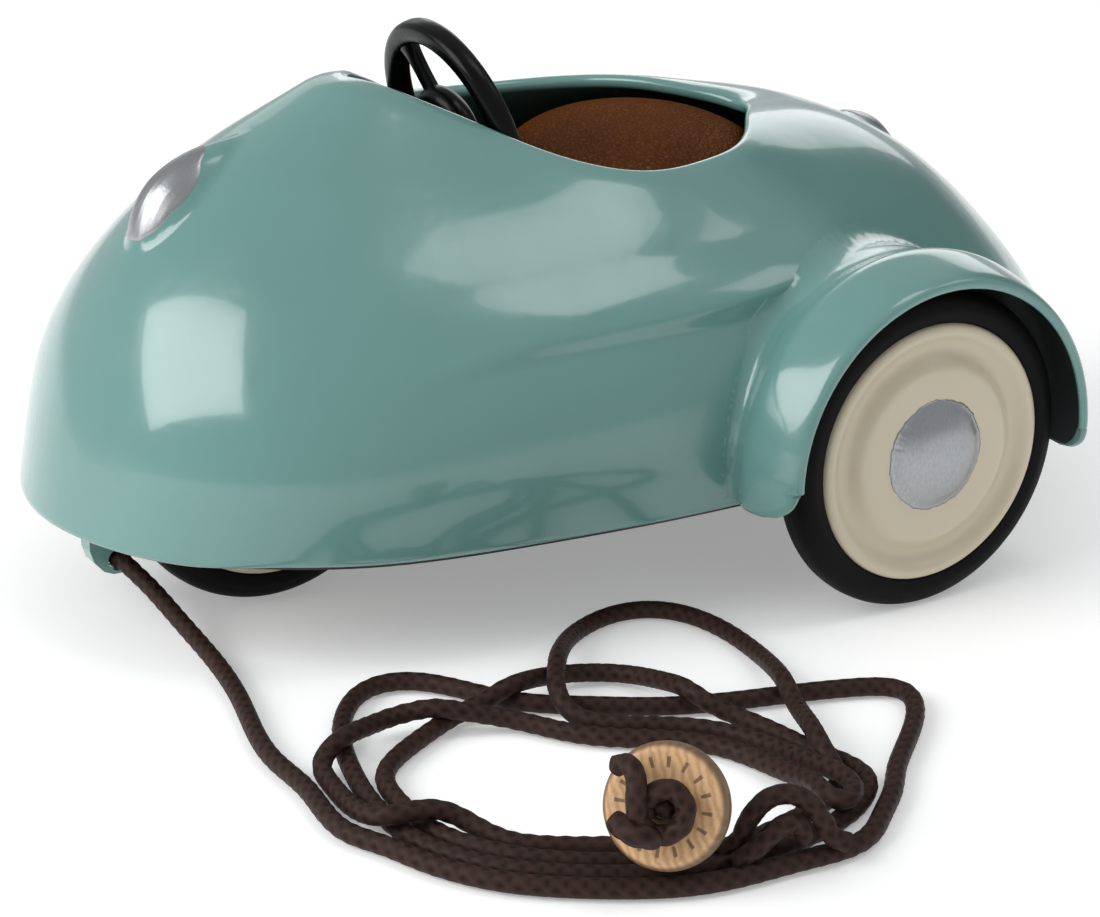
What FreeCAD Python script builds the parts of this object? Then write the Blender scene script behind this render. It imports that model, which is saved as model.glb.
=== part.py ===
import FreeCAD, Part
import math
import os
import re
import Sketcher
from FreeCAD import Placement, Rotation, Vector

# Streamlined toy car with a rear spring motor and a tow cord.
# Frame: +Z up, nose toward -Y, driver's left toward +X, millimetres.
# Origin: centre of the flat underside of the floor pan, midway between the axles.
# The ground the wheels stand on is ground_gap below that face.

doc = FreeCAD.newDocument("pull_back_car")
sheet = doc.addObject("Spreadsheet::Sheet", "dims")
sheet.Label = "dims"

# (alias, number or formula of the aliases above it)
DIMENSIONS = [
    # wheels and axles; disc_x is the distance of a disc's outer face from the middle
    ("ground_gap", 14.0), ("rear_tyre_rad", 20.5), ("front_tyre_rad", 19.27),
    ("tyre_wide", 6.2), ("rear_axle_y", 34.13), ("front_axle_y", "=-rear_axle_y"),
    ("rear_axle_z", "=rear_tyre_rad - ground_gap"),
    ("front_axle_z", "=front_tyre_rad - ground_gap"),
    ("disc_rad", 16.6), ("front_disc_rad", 15.6), ("plateau_rad", 11.4), ("moat_rad", 12.9),
    ("cap_rad", 6.9), ("cap_rise", 1.9), ("rear_disc_x", 53.7), ("front_disc_x", 8.96),
    ("rear_shaft_rad", 1.5), ("front_shaft_rad", 1.25), ("run_gap", 0.05),
    # body skin, floor pan and fenders
    ("body_scale_x", 1.0), ("body_scale_y", 1.0), ("body_scale_z", 1.0),
    ("skin", 1.2), ("hem_z", 0.35), ("floor_thick", 1.6), ("floor_gap", 0.05),
    ("slot_in", 2.45), ("slot_out", 11.3), ("slot_half", 19.9),
    ("fender_in", 21.75), ("fender_edge_x", 56.1), ("fender_thick", 0.9),
    # spring motor
    ("case_half", 12.5), ("case_wall", 1.2), ("case_front_y", -4.0), ("case_back_y", 41.5),
    ("case_top_z", 25.6), ("gear_module", 0.7), ("gear_small", 12), ("gear_large", 28),
    ("idler_y", 22.005), ("idler_z", 13.5),
    ("arbor_y", "=idler_y - gear_module * (gear_small + gear_large) / 2"),
    ("arbor_z", "=idler_z"), ("shaft_rad", 1.2),
    # seat
    ("seat_half", 18.2), ("seat_front_y", 8.0), ("seat_back_y", 46.0), ("seat_top_z", 28.2),
    ("sheet_thick", 1.2), ("cushion_x", 22.5), ("cushion_y", 20.5), ("cushion_z", 12.6),
    ("cushion_mid_y", 26.0), ("cushion_base_z", 28.4),
    # steering
    ("wheel_ring_rad", 13.3), ("wheel_ring_tube", 1.5), ("wheel_mid_y", -2.7),
    ("wheel_mid_z", 41.4), ("wheel_tilt", 71.7), ("column_rad", 1.5), ("column_len", 22.5),
    # tow cord, bead and lug
    ("cord_rad", 1.1), ("bead_rad", 6.6), ("bead_thick", 3.0), ("bead_hole", 1.5),
    ("lug_half", 1.4), ("lug_front_y", -56.4), ("lug_back_y", -51.0), ("lug_low_z", -8.9),
    ("lug_hole", 1.45),
]
for row, (alias, content) in enumerate(DIMENSIONS, 1):
    sheet.set(f"A{row}", alias.replace("_", " "))
    sheet.set(f"B{row}", str(content))
    sheet.setAlias(f"B{row}", alias)
doc.recompute()


# ---------------------------------------------------------------- sizes
# A size is a number, or a text of aliases and numbers such as "cap_rad - 0.6":
# spaced sums and differences of products and quotients, without brackets.
def dim(alias):
    return float(sheet.get(alias))


def value(size):
    """The size as a number."""
    if not isinstance(size, str):
        return float(size)

    def number(word):
        return dim(word) if word[0].isalpha() else float(word)

    total = 0.0
    for term in size.replace("- ", "+ -").replace(" ", "").split("+"):
        product = -1.0 if term.startswith("-") else 1.0
        for factor in term.lstrip("-").split("*"):
            first, *divisors = factor.split("/")
            product *= number(first)
            for divisor in divisors:
                product /= number(divisor)
        total += product
    return total


def bound(size):
    """The size as an expression on the spreadsheet."""
    return re.sub(r"[a-z_]+", r"dims.\g<0>", size)


def set_size(thing, prop, size):
    setattr(thing, prop, value(size))
    if isinstance(size, str):
        thing.setExpression(prop, bound(size))


# ---------------------------------------------------------------- document objects
PIECES = []
ALONG_X = Rotation(Vector(0, 0, 1), Vector(1, 0, 0))
HALF_TURN = Rotation(Vector(0, 0, 1), 180)


def keep(piece):
    """Marks an object as one of the exported pieces."""
    PIECES.append(piece)
    return piece


def feature(name, shape):
    thing = doc.addObject("Part::Feature", name)
    thing.Shape = shape
    keep(thing)


def cylinder(name, radius, height, placement):
    thing = doc.addObject("Part::Cylinder", name)
    set_size(thing, "Radius", radius)
    set_size(thing, "Height", height)
    thing.Placement = placement
    return thing


def box(name, sides, corner):
    thing = doc.addObject("Part::Box", name)
    for prop, size in zip(("Length", "Width", "Height"), sides):
        set_size(thing, prop, size)
    thing.Placement = Placement(Vector(*[value(size) for size in corner]), Rotation())
    for axis, size in zip("xyz", corner):
        if isinstance(size, str):
            thing.setExpression("Placement.Base." + axis, bound(size))
    return thing


def cut_all(name, base, tools):
    """Cuts the tools off one after another; the last cut carries the name."""
    last = len(tools) - 1
    for i, tool in enumerate(tools):
        cut = doc.addObject("Part::Cut", name if i == last else f"{name}_cut{i}")
        cut.Base = base
        cut.Tool = tool
        base = cut
    return base


def new_body(name, placement=None):
    body = doc.addObject("PartDesign::Body", name)
    if placement is not None:
        body.Placement = placement
    return keep(body)


def new_sketch(body, name, role="XY_Plane", offset_z=0.0):
    sketch = body.newObject("Sketcher::SketchObject", name)
    plane = next(f for f in body.Origin.OriginFeatures if f.Role == role)
    sketch.AttachmentSupport = [(plane, "")]
    sketch.MapMode = "FlatFace"
    if offset_z:
        sketch.AttachmentOffset = Placement(Vector(0, 0, offset_z), Rotation())
    return sketch


def constrain(sketch, size, kind, *where):
    index = sketch.addConstraint(Sketcher.Constraint(kind, *where, value(size)))
    if isinstance(size, str):
        sketch.setExpression(f"Constraints[{index}]", bound(size))


def pin(sketch, edge, point, across, up):
    """Fixes a point of an edge by its two coordinates; a plain zero puts it on the axis."""
    for kind, size, axis in (("DistanceX", across, -2), ("DistanceY", up, -1)):
        if not isinstance(size, str) and abs(size) < 1e-9:
            sketch.addConstraint(Sketcher.Constraint("PointOnObject", edge, point, axis))
        else:
            constrain(sketch, size, kind, -1, 1, edge, point)


def polygon(sketch, corners):
    places = [Vector(value(across), value(up), 0) for across, up in corners]
    count = len(places)
    base = sketch.GeometryCount
    for i in range(count):
        sketch.addGeometry(Part.LineSegment(places[i], places[(i + 1) % count]), False)
    for i in range(count):
        following = base + (i + 1) % count
        sketch.addConstraint(Sketcher.Constraint("Coincident", base + i, 2, following, 1))
    for i, (across, up) in enumerate(corners):
        pin(sketch, base + i, 1, across, up)


def circle(sketch, across, up, radius):
    centre = Vector(value(across), value(up), 0)
    edge = sketch.addGeometry(Part.Circle(centre, Vector(0, 0, 1), value(radius)), False)
    constrain(sketch, radius, "Radius", edge)
    pin(sketch, edge, 3, across, up)


def pad(body, sketch, length, name, mid=False):
    extrusion = body.newObject("PartDesign::Pad", name)
    extrusion.Profile = sketch
    set_size(extrusion, "Length", length)
    extrusion.Midplane = mid
    doc.recompute()


def pocket(body, sketch, length, name, mid=False):
    """Cuts both ways from the sketch when mid, otherwise along its normal."""
    before = body.Shape.Volume
    cut = body.newObject("PartDesign::Pocket", name)
    cut.Profile = sketch
    set_size(cut, "Length", length)
    cut.Reversed = not mid
    cut.Midplane = mid
    doc.recompute()
    if body.Shape.Volume >= before - 1e-6:
        raise RuntimeError(f"pocket {name} removed nothing")


def turned(name, placement, profile, stem=None):
    """A body turned about its own X; profile points are (place along X, radius)."""
    stem = stem or name
    body = new_body(name, placement)
    sketch = new_sketch(body, stem + "_profile")
    polygon(sketch, profile)
    turning = body.newObject("PartDesign::Revolution", stem + "_turned")
    turning.Profile = sketch
    turning.ReferenceAxis = (sketch, ["H_Axis"])
    turning.Angle = 360.0


# ---------------------------------------------------------------- shape helpers
def largest(shape):
    return max(shape.Solids, key=lambda solid: solid.Volume)


def spline_edge(points):
    curve = Part.BSplineCurve()
    curve.interpolate(points)
    return curve.toShape()


def sewn_solid(faces):
    shell = Part.makeShell(faces)
    shell.sewShape(1e-3)
    solid = Part.Solid(Part.Shell(shell.Faces))
    if solid.Volume < 0:
        solid.reverse()
    return solid


def loop_surface(rows, degree=3):
    """B-spline through nets of poles: closed from row to row (u), clamped along a row (v)."""
    around, along = len(rows), len(rows[0])
    surface = Part.BSplineSurface()
    surface.buildFromPolesMultsKnots(
        rows, [1] * (around + 1), [degree + 1] + [1] * (along - degree - 1) + [degree + 1],
        [float(i) for i in range(around + 1)], [float(i) for i in range(along - degree + 1)],
        True, False, 3, degree)
    return surface


def station_surface(rows, degree=3):
    """Loop surface shifted one row, so that station j sits at u = j."""
    return loop_surface(rows[-1:] + rows[:-1], degree)


def end_face(surface, v):
    return Part.Face(Part.Wire([surface.vIso(v).toShape()]))


# ---------------------------------------------------------------- body skin
# Control net of the left half of the skin: 17 stations from nose to tail, each with
# its hem point (x, y), which lies at hem_z, then 7 points (x, y, z) up to the rim.
HALF_NET = [
    [(0.00, -62.83), (0.00, -61.45, 7.11), (0.00, -58.82, 14.98), (0.00, -54.97, 23.46),
     (0.00, -49.33, 31.92), (0.00, -41.59, 39.65), (0.00, -31.80, 46.03), (0.00, -20.27, 50.93)],
    [(12.09, -60.74), (11.24, -59.08, 7.19), (11.00, -57.25, 14.98), (10.53, -53.72, 23.21),
     (9.62, -48.00, 31.43), (8.42, -40.06, 39.10), (6.99, -29.82, 45.56), (5.17, -16.86, 50.18)],
    [(22.92, -54.96), (22.45, -54.68, 7.39), (21.76, -53.35, 14.88), (20.39, -49.80, 22.53),
     (18.38, -43.94, 30.17), (15.83, -35.88, 37.41), (12.65, -25.62, 43.65), (8.56, -12.99, 48.14)],
    [(31.16, -45.84), (31.54, -47.14, 7.34), (30.66, -46.19, 14.46), (28.68, -42.92, 21.60),
     (25.82, -37.45, 28.61), (22.11, -29.91, 35.23), (17.51, -20.40, 41.14), (11.94, -8.95, 46.10)],
    [(37.16, -35.19), (37.76, -36.71, 7.15), (36.98, -36.16, 13.93), (34.92, -33.57, 20.61),
     (31.70, -29.05, 27.06), (27.41, -22.74, 33.18), (22.08, -14.80, 38.87), (15.75, -5.32, 44.14)],
    [(39.84, -23.24), (41.14, -24.58, 6.98), (40.89, -24.37, 13.46), (39.16, -22.59, 19.74),
     (36.08, -19.32, 25.78), (31.77, -14.68, 31.56), (26.37, -8.87, 37.11), (19.97, -1.99, 42.45)],
    [(41.37, -11.19), (43.03, -12.00, 6.87), (43.17, -11.88, 13.12), (41.83, -10.79, 19.12),
     (39.09, -8.76, 24.88), (35.11, -5.90, 30.43), (30.01, -2.34, 35.83), (23.84, 1.85, 41.10)],
    [(42.73, 0.90), (44.27, 0.63, 6.81), (44.49, 0.77, 12.93), (43.36, 1.31, 18.75),
     (40.91, 2.22, 24.34), (37.25, 3.45, 29.74), (32.56, 4.91, 34.98), (26.98, 6.54, 40.07)],
    [(43.11, 13.05), (44.77, 13.25, 6.80), (45.06, 13.40, 12.87), (44.00, 13.44, 18.61),
     (41.64, 13.35, 24.11), (38.06, 13.10, 29.42), (33.39, 12.71, 34.61), (27.75, 12.23, 39.68)],
    [(43.10, 25.21), (44.74, 25.84, 6.83), (44.94, 25.94, 12.92), (43.75, 25.45, 18.66),
     (41.23, 24.37, 24.14), (37.49, 22.69, 29.44), (32.57, 20.48, 34.65), (26.45, 17.74, 39.83)],
    [(42.84, 37.37), (44.13, 38.35, 6.88), (43.96, 38.28, 13.06), (42.39, 37.14, 18.89),
     (39.53, 34.95, 24.44), (35.56, 31.82, 29.78), (30.65, 27.87, 34.97), (24.97, 23.17, 40.05)],
    [(41.20, 49.44), (42.23, 50.61, 6.92), (41.63, 50.15, 13.24), (39.58, 48.13, 19.30),
     (36.35, 44.70, 25.06), (32.20, 40.08, 30.52), (27.35, 34.45, 35.67), (21.91, 27.96, 40.50)],
    [(37.98, 61.20), (38.48, 62.28, 6.86), (37.35, 61.08, 13.37), (34.92, 57.90, 19.82),
     (31.53, 53.15, 26.03), (27.47, 47.12, 31.77), (22.85, 39.95, 36.82), (17.70, 31.68, 41.06)],
    [(32.34, 72.09), (32.20, 72.69, 6.71), (30.66, 70.37, 13.41), (28.19, 65.88, 20.40),
     (25.14, 59.91, 27.31), (21.64, 52.77, 33.48), (17.66, 44.45, 38.28), (13.30, 34.50, 41.35)],
    [(23.50, 80.75), (23.08, 80.82, 6.58), (21.62, 77.46, 13.48), (19.65, 71.77, 21.04),
     (17.49, 64.81, 28.72), (15.03, 56.83, 35.19), (12.04, 47.88, 39.44), (8.90, 37.60, 40.95)],
    [(12.14, 85.50), (11.91, 85.88, 6.65), (11.08, 82.18, 13.85), (10.06, 75.72, 21.85),
     (9.08, 67.85, 29.81), (7.81, 58.95, 35.85), (6.01, 49.93, 39.70), (4.30, 40.90, 40.30)],
    [(0.00, 87.17), (0.00, 87.78, 6.75), (0.00, 84.02, 14.15), (0.00, 77.24, 22.21),
     (0.00, 68.65, 29.79), (0.00, 59.18, 35.75), (0.00, 50.40, 39.65), (0.00, 42.70, 39.60)],
]
FULL_KNOTS = [0, 0, 0, 0, 1, 2, 3, 4, 5, 5, 5, 5]  # of a station, with their repeats
SKIN_CENTRE = Vector(0, -2, 14)  # normals of the skin point away from here
CLOSING_APEX = Vector(0, -6, 36)  # the rim is closed by a cone down to here


def outward_normal(surface, u, v):
    normal = surface.getDN(u, v, 1, 0).cross(surface.getDN(u, v, 0, 1))
    if normal.Length < 1e-9:
        normal = Vector(0, 0, 1)
    normal.normalize()
    if normal.dot(surface.value(u, v) - SKIN_CENTRE) < 0:
        normal = normal * -1.0
    return normal


def full_net(offset=0.0):
    """All stations, down the left side and back up the right, moved outward by offset."""
    scale_x, scale_y, scale_z = dim("body_scale_x"), dim("body_scale_y"), dim("body_scale_z")
    left = []
    for (hem_x, hem_y), *upper in HALF_NET:
        station = [Vector(hem_x * scale_x, hem_y * scale_y, dim("hem_z"))]
        station += [Vector(x * scale_x, y * scale_y, z * scale_z) for x, y, z in upper]
        left.append(station)
    right = [[Vector(-p.x, p.y, p.z) for p in station] for station in left[-2:0:-1]]
    rows = left + right
    if not offset:
        return rows

    surface = station_surface(rows)
    v_knots = surface.getVKnots()
    moved_rows = []
    for j, station in enumerate(rows):
        moved_station = []
        for k, pole in enumerate(station):
            v = sum(FULL_KNOTS[k + 1:k + 4]) / 3.0  # where the pole pulls most
            v = min(max(v, v_knots[0] + 1e-4), v_knots[-1] - 1e-4)
            moved = pole + outward_normal(surface, float(j), v) * offset
            if k == 0:
                moved.z = pole.z
            moved_station.append(moved)
        moved_rows.append(moved_station)
    return moved_rows


def skin_solid():
    outer, inner = full_net(), full_net(-dim("skin"))
    faces = [station_surface(outer).toShape(), station_surface(inner).toShape()]
    for end in (0, -1):  # hem band and rim band
        band = [[a[end], b[end]] for a, b in zip(outer, inner)]
        faces.append(station_surface(band, degree=1).toShape())
    return sewn_solid(faces)


def skin_volume(offset):
    """Closed volume inside the skin surface moved outward by offset."""
    rows = full_net(offset)
    surface = station_surface(rows)
    bottom = end_face(surface, surface.getVKnots()[0])
    cone = station_surface([[station[-1], CLOSING_APEX] for station in rows], degree=1)
    return sewn_solid([surface.toShape(), bottom, cone.toShape()])


OUTER = skin_volume(0.02)
INNER = skin_volume(-dim("skin") - 0.05)
REAR_AXLE = Vector(0, dim("rear_axle_y"), dim("rear_axle_z"))
FRONT_AXLE = Vector(0, dim("front_axle_y"), dim("front_axle_z"))

axle_hole = Part.makeCylinder(3.2, 130, Vector(-65, REAR_AXLE.y, REAR_AXLE.z), Vector(1, 0, 0))
body_shell = skin_solid().cut(axle_hole)
# a cut may come back as a compound; a single solid is taken out of it
feature("body_shell", body_shell.Solids[0] if len(body_shell.Solids) == 1 else body_shell)


# ---------------------------------------------------------------- fenders
# Section of the outer skin: (x from fender_edge_x, radius above fender_in)
FENDER_OUTER = [
    (0.0, 0.1), (0.12, 0.55), (-0.35, 1.15), (-2.2, 2.1),
    (-5.0, 2.8), (-8.5, 3.0), (-12.0, 2.5), (-16.5, 1.3),
]
FENDER_HALF_SWEEP = 100.0  # degrees either way from the top
FENDER_CORNER_RAD = 5.0


def left_fender():
    radius_in, edge_x, thick = dim("fender_in"), dim("fender_edge_x"), dim("fender_thick")
    # the inner skin follows the outer one back out and thins toward the edge
    section_in = [(x, rise - thick) for x, rise in FENDER_OUTER[:3:-1]]
    section_in += [(-2.4, 2.1 - thick), (-0.9, 0.5)]
    outer = [Vector(edge_x + x, 0, radius_in + rise) for x, rise in FENDER_OUTER]
    inner = [Vector(edge_x + x, 0, radius_in + rise) for x, rise in section_in]
    section = Part.Face(Part.Wire([
        spline_edge(outer), Part.makeLine(outer[-1], inner[0]),
        spline_edge(inner), Part.makeLine(inner[-1], outer[0])]))
    section.rotate(Vector(0, 0, 0), Vector(1, 0, 0), FENDER_HALF_SWEEP)
    arch = section.revolve(Vector(0, 0, 0), Vector(1, 0, 0), -2 * FENDER_HALF_SWEEP)
    arch.translate(REAR_AXLE)
    arch = largest(arch.cut(OUTER))

    # rounds the lower corners of the outer edge, front and back at once
    low_z = REAR_AXLE.z - 0.16 * radius_in
    round_x = edge_x + 0.2 - FENDER_CORNER_RAD
    corner = Part.makeBox(FENDER_CORNER_RAD + 3.0, 80.0, FENDER_CORNER_RAD + 12.0,
                          Vector(round_x, REAR_AXLE.y - 40.0, low_z - 12.0))
    corner = corner.cut(Part.makeCylinder(
        FENDER_CORNER_RAD, 82.0, Vector(round_x, REAR_AXLE.y - 41.0, low_z + FENDER_CORNER_RAD),
        Vector(0, 1, 0)))
    return largest(arch.cut(corner))


fender = left_fender()
feature("left_fender", fender)
feature("right_fender", fender.mirror(Vector(0, 0, 0), Vector(1, 0, 0)))


# ---------------------------------------------------------------- lamps
def lamp(middle, lengthways, outward, half_long, half_wide, half_deep):
    """Half-buried ellipsoid blister standing on the skin."""
    along = Vector(lengthways).normalize()
    out = (outward - along * outward.dot(along)).normalize()
    across = out.cross(along)
    stretch = FreeCAD.Matrix(
        along.x * half_long, across.x * half_wide, out.x * half_deep, middle.x,
        along.y * half_long, across.y * half_wide, out.y * half_deep, middle.y,
        along.z * half_long, across.z * half_wide, out.z * half_deep, middle.z,
        0, 0, 0, 1)
    return largest(Part.makeSphere(1.0).transformGeometry(stretch).cut(OUTER))


feature("nose_lamp", lamp(
    middle=Vector(0, -41.093, 37.695), lengthways=Vector(0, 0.770, 0.638),
    outward=Vector(0, -0.633, 0.774), half_long=8.4, half_wide=5.0, half_deep=3.4))
feature("tail_lamp", lamp(
    middle=Vector(0, 63.182, 32.290), lengthways=Vector(0, -0.857, 0.516),
    outward=Vector(0, 0.516, 0.857), half_long=4.6, half_wide=3.0, half_deep=1.9))


# ---------------------------------------------------------------- floor pan
SEAT_SCREWS = [(-20.8, 14.0), (20.8, 14.0), (-20.8, 42.0), (20.8, 42.0)]  # x, y
BEARING_SCREWS = [(0.0, -47.0), (0.0, -21.3)]
SCREWS = SEAT_SCREWS + BEARING_SCREWS
SCREW_BITE_RAD = 0.92  # bores in the parts the screws hold
OUTLINE_POINTS = 64
THROUGH = 5.0


def screw_circles(sketch, screws, radius):
    for x, y in screws:
        circle(sketch, x, y, radius)


def floor_outline():
    """Closed curve that clears the inside of the skin over the thickness of the floor."""
    rows = full_net(-dim("skin") - dim("floor_gap"))
    surface = station_surface(rows)
    v_low, v_high = surface.getVKnots()[0], surface.getVKnots()[-1]
    outline = []
    for i in range(OUTLINE_POINTS):
        u = float(len(rows)) * i / OUTLINE_POINTS
        beside_floor = []
        for k in range(40):
            point = surface.value(u, v_low + (v_high - v_low) * k / 160.0)
            if point.z > dim("floor_thick") + 0.1:
                break
            beside_floor.append(point)
        nearest = min(beside_floor, key=lambda p: math.hypot(p.x, p.y - 12.0))
        outline.append(Vector(nearest.x, nearest.y, 0))
    curve = Part.BSplineCurve()
    curve.interpolate(outline, PeriodicFlag=True)
    return curve


floor = new_body("floor_pan")
sketch = new_sketch(floor, "floor_outline")
sketch.addGeometry(floor_outline(), False)
pad(floor, sketch, "floor_thick", "floor_plate")

sketch = new_sketch(floor, "wheel_slots")
for sign in ("", "-"):
    near, far = sign + "slot_in", sign + "slot_out"
    polygon(sketch, [
        (near, "front_axle_y - slot_half"), (far, "front_axle_y - slot_half"),
        (far, "front_axle_y + slot_half"), (near, "front_axle_y + slot_half")])
polygon(sketch, [  # the tow lug passes through here
    ("-lug_half - 0.05", "lug_front_y - 0.05"), ("lug_half + 0.05", "lug_front_y - 0.05"),
    ("lug_half + 0.05", "lug_back_y + 0.05"), ("-lug_half - 0.05", "lug_back_y + 0.05")])
pocket(floor, sketch, THROUGH, "slots")

sketch = new_sketch(floor, "screw_holes")
screw_circles(sketch, SCREWS, 0.95)
pocket(floor, sketch, THROUGH, "screw_bores")

sketch = new_sketch(floor, "screw_seats")
screw_circles(sketch, SCREWS, 1.85)
pocket(floor, sketch, 0.9, "screw_counterbores")


# ---------------------------------------------------------------- wheels and axles
def wheel(name, placement, tyre, disc, shaft):
    """Disc, tyre and hub cap; tyre, disc and shaft are the aliases of their radii."""
    turned(name + "_disc", placement, [
        (-1.5, shaft), (-1.5, 0.0), (-0.5, 0.0), (-0.5, "cap_rad"), (0.0, "cap_rad"),
        (0.0, "plateau_rad - 0.6"), (-0.2, "plateau_rad"), (-0.75, "moat_rad - 0.5"),
        (-0.9, "moat_rad"), (-0.8, "moat_rad + 0.6"), (-0.3, disc + " - 2.1"),
        (-0.15, disc + " - 1.4"), (-0.3, disc + " - 0.6"), (-0.8, disc + " - 0.1"),
        (-1.3, disc), (-5.0, disc), (-5.0, 5.0), ("-tyre_wide", 4.2), ("-tyre_wide", shaft)])
    turned(name + "_tyre", placement, [
        (-0.75, disc + " + 0.01"), (-0.55, disc + " + 0.9"), (-0.65, tyre + " - 1.9"),
        (-1.0, tyre + " - 1.0"), (-1.7, tyre + " - 0.25"), (-2.4, tyre),
        ("-tyre_wide + 2.0", tyre), ("-tyre_wide + 1.2", tyre + " - 0.25"),
        ("-tyre_wide + 0.5", tyre + " - 1.0"), ("-tyre_wide + 0.15", tyre + " - 1.9"),
        ("-tyre_wide + 0.1", disc + " + 0.9"), ("-tyre_wide + 0.3", disc + " + 0.01")])
    turned(name + "_cap", placement, [
        (-0.5, 0.0), (-0.5, "cap_rad - 0.01"), (0.05, "cap_rad - 0.05"),
        (0.45, "cap_rad - 0.6"), (1.08, "cap_rad - 2.0"), ("cap_rise - 0.36", "cap_rad - 3.6"),
        ("cap_rise - 0.09", "cap_rad - 5.2"), ("cap_rise", 0.0)])


# The axle ends stand 1.5 in from the outer faces of the discs.
for end, axle, disc in (("rear", REAR_AXLE, "disc_rad"), ("front", FRONT_AXLE, "front_disc_rad")):
    tyre, shaft, disc_x = end + "_tyre_rad", end + "_shaft_rad", end + "_disc_x"
    reach = Vector(dim(disc_x), 0, 0)
    wheel(end + "_left", Placement(axle + reach, Rotation()), tyre, disc, shaft)
    wheel(end + "_right", Placement(axle - reach, HALF_TURN), tyre, disc, shaft)
    start = axle - Vector(dim(disc_x) - 1.5, 0, 0)
    keep(cylinder(end + "_axle", shaft, f"2*{disc_x} - 3.0", Placement(start, ALONG_X)))


# ---------------------------------------------------------------- front bearing block
bearing = new_body("front_bearing_block")
sketch = new_sketch(bearing, "bearing_side", "YZ_Plane")
polygon(sketch, [
    (-49.6, "floor_thick"), (-18.7, "floor_thick"), (-18.7, "floor_thick + 1.2"),
    (-27.0, "floor_thick + 1.2"), (-29.5, "front_axle_z + 3.6"), (-31.6, "front_axle_z + 5.2"),
    (-36.6, "front_axle_z + 5.2"), (-38.8, "front_axle_z + 3.6"), (-41.3, "floor_thick + 1.2"),
    (-49.6, "floor_thick + 1.2")])
BEARING_WIDE = 4.2
pad(bearing, sketch, BEARING_WIDE, "bearing_cast", mid=True)
sketch = new_sketch(bearing, "bearing_bore", "YZ_Plane")
circle(sketch, "front_axle_y", "front_axle_z", 2.2)
pocket(bearing, sketch, 10.0, "bearing_bored", mid=True)
sketch = new_sketch(bearing, "bearing_screw_bores")
screw_circles(sketch, BEARING_SCREWS, SCREW_BITE_RAD)
pocket(bearing, sketch, 10.0, "bearing_screws")


# ---------------------------------------------------------------- axle bushes
def rear_bush(name, side):
    """Bush through one wall of the seat pan, with its flange at the outer end."""
    bore, barrel, flange = "rear_shaft_rad + run_gap", 2.9, 3.5
    length, flange_start = side * 2.0, side * 1.2
    wall = Vector(side * (dim("seat_half") - dim("sheet_thick")), 0, 0)
    turned(name, Placement(REAR_AXLE + wall, Rotation()), [
        (0.0, bore), (length, bore), (length, flange), (flange_start, flange),
        (flange_start, barrel), (0.0, barrel)])


turned("front_bush", Placement(FRONT_AXLE, Rotation()), [
    (-BEARING_WIDE / 2, "front_shaft_rad + run_gap"),
    (BEARING_WIDE / 2, "front_shaft_rad + run_gap"),
    (BEARING_WIDE / 2, 2.18), (-BEARING_WIDE / 2, 2.18)])
rear_bush("rear_left_bush", 1)
rear_bush("rear_right_bush", -1)


# ---------------------------------------------------------------- seat pan and cushion
SEAT_FOOT_X = 23.4
seat = new_body("seat_pan")
# The XZ plane faces -Y, so the channel starts at its back and runs forward.
sketch = new_sketch(seat, "seat_section", "XZ_Plane", offset_z=-dim("seat_back_y"))
polygon(sketch, [
    ("-seat_half", "seat_top_z"), ("seat_half", "seat_top_z"),
    ("seat_half", "floor_thick + sheet_thick"), (SEAT_FOOT_X, "floor_thick + sheet_thick"),
    (SEAT_FOOT_X, "floor_thick"), ("seat_half - sheet_thick", "floor_thick"),
    ("seat_half - sheet_thick", "seat_top_z - sheet_thick"),
    ("-seat_half + sheet_thick", "seat_top_z - sheet_thick"),
    ("-seat_half + sheet_thick", "floor_thick"), (-SEAT_FOOT_X, "floor_thick"),
    (-SEAT_FOOT_X, "floor_thick + sheet_thick"), ("-seat_half", "floor_thick + sheet_thick")])
pad(seat, sketch, "seat_back_y - seat_front_y", "seat_channel")
sketch = new_sketch(seat, "axle_bores", "YZ_Plane")
circle(sketch, "rear_axle_y", "rear_axle_z", 2.92)
pocket(seat, sketch, 60.0, "axle_bored", mid=True)
sketch = new_sketch(seat, "seat_screws")
screw_circles(sketch, SEAT_SCREWS, SCREW_BITE_RAD)
pocket(seat, sketch, 10.0, "seat_screw_bores")

crown = doc.addObject("Part::Ellipsoid", "cushion_crown")
set_size(crown, "Radius1", "cushion_z")
set_size(crown, "Radius2", "cushion_x")
set_size(crown, "Radius3", "cushion_y")
crown.Placement = Placement(Vector(0, dim("cushion_mid_y"), dim("cushion_base_z")), Rotation())
below_cushion = box("cushion_flat", (80.0, 80.0, 30.0),
                    (-40.0, "cushion_mid_y - 40", "cushion_base_z - 30"))
keep(cut_all("seat_cushion", crown, [below_cushion]))


# ---------------------------------------------------------------- spring motor
IDLER = Vector(0, dim("idler_y"), dim("idler_z"))
ARBOR = Vector(0, dim("arbor_y"), dim("arbor_z"))
GEAR_WIDE = 3.0
OUTER_GEARS_X = 3.0  # right-hand faces of the axle gear and the large idler gear
INNER_GEARS_X = -1.5  # right-hand faces of the small idler gear and the arbor gear
# Gear tooth: (angle in tooth pitches, radius from the pitch circle in modules)
TOOTH = [(-0.31, -1.0), (-0.195, 0.0), (-0.10, 0.8), (0.10, 0.8), (0.195, 0.0), (0.31, -1.0)]


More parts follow.
